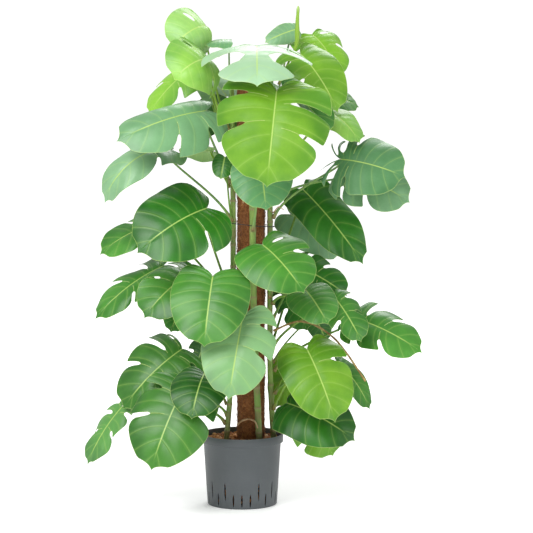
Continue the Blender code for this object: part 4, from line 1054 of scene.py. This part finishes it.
def draw_pole(settings):
    """The coir pole: an uneven matted body and loose strands on it."""
    low, high = (np.array(corner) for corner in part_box("coir_pole"))
    middle = (low + high) / 2
    sides, rings = 72, 200
    turn = np.arange(sides) / sides * math.tau
    heights = np.linspace(low[2], high[2] - 0.0005, rings)
    radii = pole_radius(turn[None], heights[:, None])
    radii[0] *= 0.97
    radii[-1] *= 0.94
    course = np.stack((np.full(rings, middle[0]), np.full(rings, middle[1]), heights), -1)
    points, faces, marks = tube(course, radii, sides)
    body = mesh_from("coir_body", points, faces, run=marks)
    inputs = (("Density", "NodeSocketFloat", settings.strand_density),
              ("Length", "NodeSocketFloat", settings.strand_length),
              ("Thickness", "NodeSocketFloat", settings.strand_thickness / settings.strand_length * 0.028),
              ("Seed", "NodeSocketInt", 7))
    # the loose strands are painted lighter and the matted body darker, as painted light and shade
    loose = coir_finish("coir_strand", 1.35)
    strands = grown("strands", body.copy(), strand_tree(loose, inputs), inputs, loose)
    body.materials.append(coir_finish("coir_mat", 0.8))
    mesh = merged(body, strands)
    put("visual_coir_pole", mesh, (), "coir", "coir_pole")
    low, high = (np.array(corner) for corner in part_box("pole_core"))
    middle = (low + high) / 2
    heights = np.array((low[2], low[2] + 0.001, high[2] - 0.0012, high[2] - 0.0003, high[2]))
    course = np.stack((np.full(5, middle[0]), np.full(5, middle[1]), heights), -1)
    radius = (high[0] - low[0]) / 2
    points, faces, marks = tube(course, np.array((0.94, 1.0, 1.0, 0.95, 0.86)) * radius, 40)
    core = bark_finish("core_wood", (0.30, 0.17, 0.08), (0.48, 0.31, 0.17), 160.0)
    put("visual_pole_core", mesh_from("core", points, faces, run=marks, sharp=40), (core,), "core", "pole_core")


def draw_stems():
    finish = stem_finish()
    for stem, course in STEMS.items():
        dice = random.Random(stem)
        count, sides = 260, 20
        points = smooth_course(course, count)
        height = points[:, 2]
        radii = STEM_RADII[stem] * (1.0 - 0.25 * np.clip((height - 0.88) / 0.27, 0.0, 1.0))
        ring = np.zeros(count)
        level = 0.20
        while level < height[-1]:
            near = (height - level) / 0.0035
            radii = radii * (1.0 + 0.14 * np.exp(-near ** 2) - 0.05 * np.exp(-((near - 2.4) / 1.4) ** 2))
            ring = np.maximum(ring, np.exp(-(near / 0.8) ** 2))
            level += dice.uniform(0.048, 0.074)
        turn = np.arange(sides) / sides * math.tau
        spread = radii[:, None] * (1.0 + 0.035 * np.sin(3 * turn[None] + 40 * height[:, None]))
        spread[0] *= 0.6
        spread[-1] *= 0.5
        points, faces, marks = tube(points, spread, sides)
        marks[:-2, 2] = np.repeat(ring, sides)
        node = "stem_" + stem
        put("visual_" + node, mesh_from(node, settled(points, node), faces, run=marks), (finish,), "stem", node)


def draw_trims():
    """The tie, the aerial roots, the cut stalk and the rolled new leaf."""
    reach = ((-0.034, -0.046), (-0.010, -0.058), (0.020, -0.0635), (0.042, -0.061), (0.062, -0.044),
             (0.0825, -0.030), (0.0845, -0.010), (0.068, 0.014), (0.048, 0.034), (0.024, 0.0405),
             (0.000, 0.034), (-0.017, 0.012), (-0.0335, -0.018), (-0.0365, -0.034))
    loop = smooth_course(reach[-2:] + reach + reach[:3], 18 * 8 + 1)[16:-16]
    loop = np.concatenate((loop, 0.752 - 0.10 * (loop[:, :1] - 0.02)), 1)
    points, faces, marks = tube(loop, np.full(len(loop), 0.0011), 8)
    put("visual_tie", mesh_from("tie", settled(points, "tie"), faces, run=marks), (tie_finish(),), "tie", "tie")
    roots = {
        "root_pale": (0.0030, ((-0.012, -0.058, 0.222), (0.000, -0.066, 0.234), (0.018, -0.070, 0.239),
                               (0.034, -0.068, 0.232), (0.042, -0.068, 0.214))),
        "root_left": (0.0017, ((0.002, -0.048, 0.835), (0.006, -0.058, 0.850), (0.002, -0.066, 0.832),
                               (0.004, -0.068, 0.810))),
        "root_right": (0.0017, ((0.072, -0.036, 0.795), (0.082, -0.046, 0.785), (0.096, -0.050, 0.800),
                                (0.110, -0.046, 0.792))),
    }
    bark = bark_finish("dry_root", (0.26, 0.14, 0.06), (0.52, 0.36, 0.20))
    for node, (thick, course) in roots.items():
        course = smooth_course(course, 40)
        along = np.linspace(0.0, 1.0, 40)
        radii = thick * (1.0 - 0.36 * along + 0.10 * np.sin(along * 31) * np.sin(along * 12))
        radii[-1] *= 0.4
        points, faces, marks = tube(course, radii, 10)
        put("visual_" + node, mesh_from(node, settled(points, node), faces, run=marks), (bark,), "root", node)
    course = smooth_course(((0.084, -0.031, 0.470), (0.160, -0.080, 0.500), (0.245, -0.095, 0.455),
                            (0.325, -0.105, 0.345)), 50)
    along = np.linspace(0.0, 1.0, 50)
    points, faces, marks = tube(course, 0.0026 * (1.0 + 0.10 * np.sin(along * 40) + 0.25 * np.exp(-along * 12)), 10)
    stalk = bark_finish("dry_stalk", (0.23, 0.13, 0.035), (0.42, 0.30, 0.11), 80.0)
    put("visual_cut_stalk", mesh_from("cut_stalk", settled(points, "cut_stalk"), faces, run=marks), (stalk,),
        "cut_stalk", "cut_stalk")
    course = smooth_course(((0.095, 0.006, 1.120), (0.118, 0.000, 1.170), (0.142, -0.025, 1.225),
                            (0.1440, -0.030, 1.280), (0.1470, -0.030, 1.326)), 90)
    shape = ((0.0, 0.0034), (0.30, 0.0030), (0.42, 0.0034), (0.52, 0.0055), (0.64, 0.0068), (0.76, 0.0052),
             (0.86, 0.0040), (0.93, 0.0044), (0.97, 0.0030), (1.0, 0.0008))
    along = np.linspace(0.0, 1.0, 90)
    radii = np.interp(along, [s[0] for s in shape], [s[1] for s in shape])
    turn = np.arange(20) / 20 * math.tau
    furl = 1.0 - 0.22 * np.maximum(0.0, np.cos(turn[None] - 9 * along[:, None])) ** 8 * (along[:, None] > 0.38)
    points, faces, marks = tube(course, radii[:, None] * furl, 20)
    put("visual_new_leaf", mesh_from("new_leaf", settled(points, "new_leaf"), faces, run=marks),
        (petiole_finish("furled_leaf", "young"),), "leaf_young", "new_leaf")


# ---------------------------------------------------------------- stage

def draw_stage(settings):
    """A pale floor, a bright sky dome and three soft lights, and the camera."""
    size = 40.0
    floor = bpy.data.objects.new("floor", mesh_from("floor", ((-size, -size, 0), (size, -size, 0), (size, size, 0),
                                                              (-size, size, 0)), [(0, 1, 2, 3)]))
    made, tree = new_finish("pale_floor")
    soft = tree.noise(3.0, 2.0)
    away = tree.node("ShaderNodeVectorMath", {"operation": "LENGTH"}, {0: tree.place()}, "Value")
    glow = tree.blend(away.band(0.5, 3.0), (0.22, 0.22, 0.22), (0.62, 0.62, 0.62))
    finished(made, tree, tree.blend(soft, (0.90, 0.90, 0.90), (0.92, 0.92, 0.92)), 0.75,
             Emission_Color=glow, Emission_Strength=1.0)
    floor.data.materials.append(made)
    bpy.context.scene.collection.objects.link(floor)
    world = bpy.data.worlds.new("studio")
    world.use_nodes = True
    world.node_tree.nodes.clear()
    sky = Tree(world.node_tree)
    seen = sky.node("ShaderNodeLightPath", output="Is Camera Ray")
    glow = sky.node("ShaderNodeBackground", None, {
        "Color": (1.0, 1.0, 1.0, 1.0), "Strength": settings.dome + seen * (1.05 - settings.dome)})
    sky.node("ShaderNodeOutputWorld", None, {"Surface": glow})
    bpy.context.scene.world = world
    aim = Vector((0.03, -0.03, 0.70))
    for name, place, width, power in (("key", (-2.2, -3.4, 4.2), 3.6, settings.key),
                                      ("fill", (3.6, -3.0, 2.2), 3.0, settings.fill),
                                      ("back", (0.6, 3.2, 3.8), 2.6, settings.back)):
        lamp = bpy.data.lights.new(name, "AREA")
        lamp.shape, lamp.size, lamp.energy = "DISK", width, power
        light = bpy.data.objects.new(name, lamp)
        light.location = place
        light.rotation_euler = (aim - Vector(place)).to_track_quat("-Z", "Y").to_euler()
        bpy.context.scene.collection.objects.link(light)
    eye, look = Vector((0.065, -6.0, 1.190)), Vector((0.065, 0.0, 0.6378))
    camera = bpy.data.objects.new("camera", bpy.data.cameras.new("camera"))
    camera.data.lens, camera.data.sensor_width = settings.lens, 36.0
    camera.location = eye
    camera.rotation_euler = (look - eye).to_track_quat("-Z", "Y").to_euler()
    bpy.context.scene.collection.objects.link(camera)
    bpy.context.scene.camera = camera
    bpy.context.scene.view_settings.view_transform = "Standard"


# ---------------------------------------------------------------- settings, operators and panel

def metres(name, about, default):
    return bpy.props.FloatProperty(name=name, description=about, default=default, min=0.0, precision=4,
                                   subtype="DISTANCE", unit="LENGTH")


POT_LOW, POT_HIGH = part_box("pot")


class PotSettings(bpy.types.PropertyGroup):
    height: metres("Height", "Height of the pot", POT_HIGH.z)
    rim_radius: metres("Rim radius", "Outer radius of the rim", (POT_HIGH.x - POT_LOW.x) / 2)
    rim_band: metres("Rim band", "Height of the band under the rim", 0.0215)
    wall_radius: metres("Wall radius", "Outer radius of the wall just under the rim band", 0.1035)
    base_radius: metres("Base radius", "Outer radius of the wall at its foot", 0.0930)
    slot_width: metres("Slot width", "Width of one water slot", 0.0046)
    slots: bpy.props.IntProperty(name="Slots", description="Number of water slots round the wall", default=26, min=0)
    smallest_grain: metres("Smallest grain", "Diameter of the smallest clay granule", 0.0085)
    largest_grain: metres("Largest grain", "Diameter of the largest clay granule", 0.0170)
    grain_gap: metres("Grain gap", "Least distance between the middles of two granules", 0.0066)


class PoleSettings(bpy.types.PropertyGroup):
    strand_length: metres("Strand length", "Usual length of a loose coir strand", 0.028)
    strand_thickness: metres("Strand thickness", "Radius of a loose coir strand", 0.00030)
    strand_density: bpy.props.FloatProperty(name="Strand density", description="Strands on a square metre",
                                            default=12000.0, min=0.0)


class StageSettings(bpy.types.PropertyGroup):
    lens: bpy.props.FloatProperty(name="Lens", description="Focal length", default=153.0, min=10.0, unit="CAMERA")
    dome: bpy.props.FloatProperty(name="Dome", description="Brightness of the white dome", default=0.55, min=0.0)
    key: bpy.props.FloatProperty(name="Key", description="Power of the light at the front left", default=235.0,
                                 min=0.0, unit="POWER")
    fill: bpy.props.FloatProperty(name="Fill", description="Power of the light at the front right", default=50.0,
                                  min=0.0, unit="POWER")
    back: bpy.props.FloatProperty(name="Back", description="Power of the light at the back", default=90.0,
                                  min=0.0, unit="POWER")


class MonsteraPiece:
    bl_options = {"REGISTER", "UNDO"}


class MONSTERA_OT_pot(MonsteraPiece, bpy.types.Operator):
    """Draws the slotted pot"""
    bl_idname, bl_label = "monstera.pot", "Pot"

    def execute(self, context):
        draw_pot(context.scene.monstera_pot)
        return {"FINISHED"}


class MONSTERA_OT_granules(MonsteraPiece, bpy.types.Operator):
    """Draws the clay granules in the pot"""
    bl_idname, bl_label = "monstera.granules", "Clay granules"

    def execute(self, context):
        draw_granules(context.scene.monstera_pot)
        return {"FINISHED"}


class MONSTERA_OT_pole(MonsteraPiece, bpy.types.Operator):
    """Draws the coir pole and the end of its core"""
    bl_idname, bl_label = "monstera.pole", "Coir pole"

    def execute(self, context):
        draw_pole(context.scene.monstera_pole)
        return {"FINISHED"}


class MONSTERA_OT_stems(MonsteraPiece, bpy.types.Operator):
    """Draws the three climbing stems"""
    bl_idname, bl_label = "monstera.stems", "Stems"

    def execute(self, context):
        draw_stems()
        return {"FINISHED"}


class MONSTERA_OT_trims(MonsteraPiece, bpy.types.Operator):
    """Draws the tie, the roots, the cut stalk and the rolled new leaf"""
    bl_idname, bl_label = "monstera.trims", "Tie, roots, stalk and new leaf"

    def execute(self, context):
        draw_trims()
        return {"FINISHED"}


class MONSTERA_OT_leaves(MonsteraPiece, bpy.types.Operator):
    """Draws every leaf with its petiole"""
    bl_idname, bl_label = "monstera.leaves", "Leaves"

    def execute(self, context):
        stalks = {colour: petiole_finish("petiole_" + colour, colour) for colour in LEAF_TONES}
        for leaf in LEAVES:
            draw_leaf(leaf, stalks)
        return {"FINISHED"}


class MONSTERA_OT_stage(MonsteraPiece, bpy.types.Operator):
    """Sets the floor, the lights and the camera"""
    bl_idname, bl_label = "monstera.stage", "Stage"

    def execute(self, context):
        draw_stage(context.scene.monstera_stage)
        return {"FINISHED"}


OPERATORS = (MONSTERA_OT_pot, MONSTERA_OT_granules, MONSTERA_OT_pole, MONSTERA_OT_stems, MONSTERA_OT_trims,
             MONSTERA_OT_leaves, MONSTERA_OT_stage)
GROUPS = {"monstera_pot": PotSettings, "monstera_pole": PoleSettings, "monstera_stage": StageSettings}


class MONSTERA_PT_panel(bpy.types.Panel):
    """Sizes, lights and the steps that draw the plant"""
    bl_idname, bl_label = "MONSTERA_PT_panel", "Monstera"
    bl_space_type, bl_region_type, bl_category = "VIEW_3D", "UI", "Monstera"

    def draw(self, context):
        for key, group in GROUPS.items():
            box = self.layout.box()
            for name in group.__annotations__:
                box.prop(getattr(context.scene, key), name)
        for operator in OPERATORS:
            self.layout.operator(operator.bl_idname)


def register():
    for made in (*GROUPS.values(), *OPERATORS, MONSTERA_PT_panel):
        bpy.utils.register_class(made)
    for key, group in GROUPS.items():
        setattr(bpy.types.Scene, key, bpy.props.PointerProperty(type=group))


def unregister():
    for key in GROUPS:
        delattr(bpy.types.Scene, key)
    for made in (MONSTERA_PT_panel, *reversed(OPERATORS), *GROUPS.values()):
        bpy.utils.unregister_class(made)


def main():
    register()
    for operator in OPERATORS:
        group, name = operator.bl_idname.split(".")
        getattr(getattr(bpy.ops, group), name)()


if __name__ == "__main__":
    main()
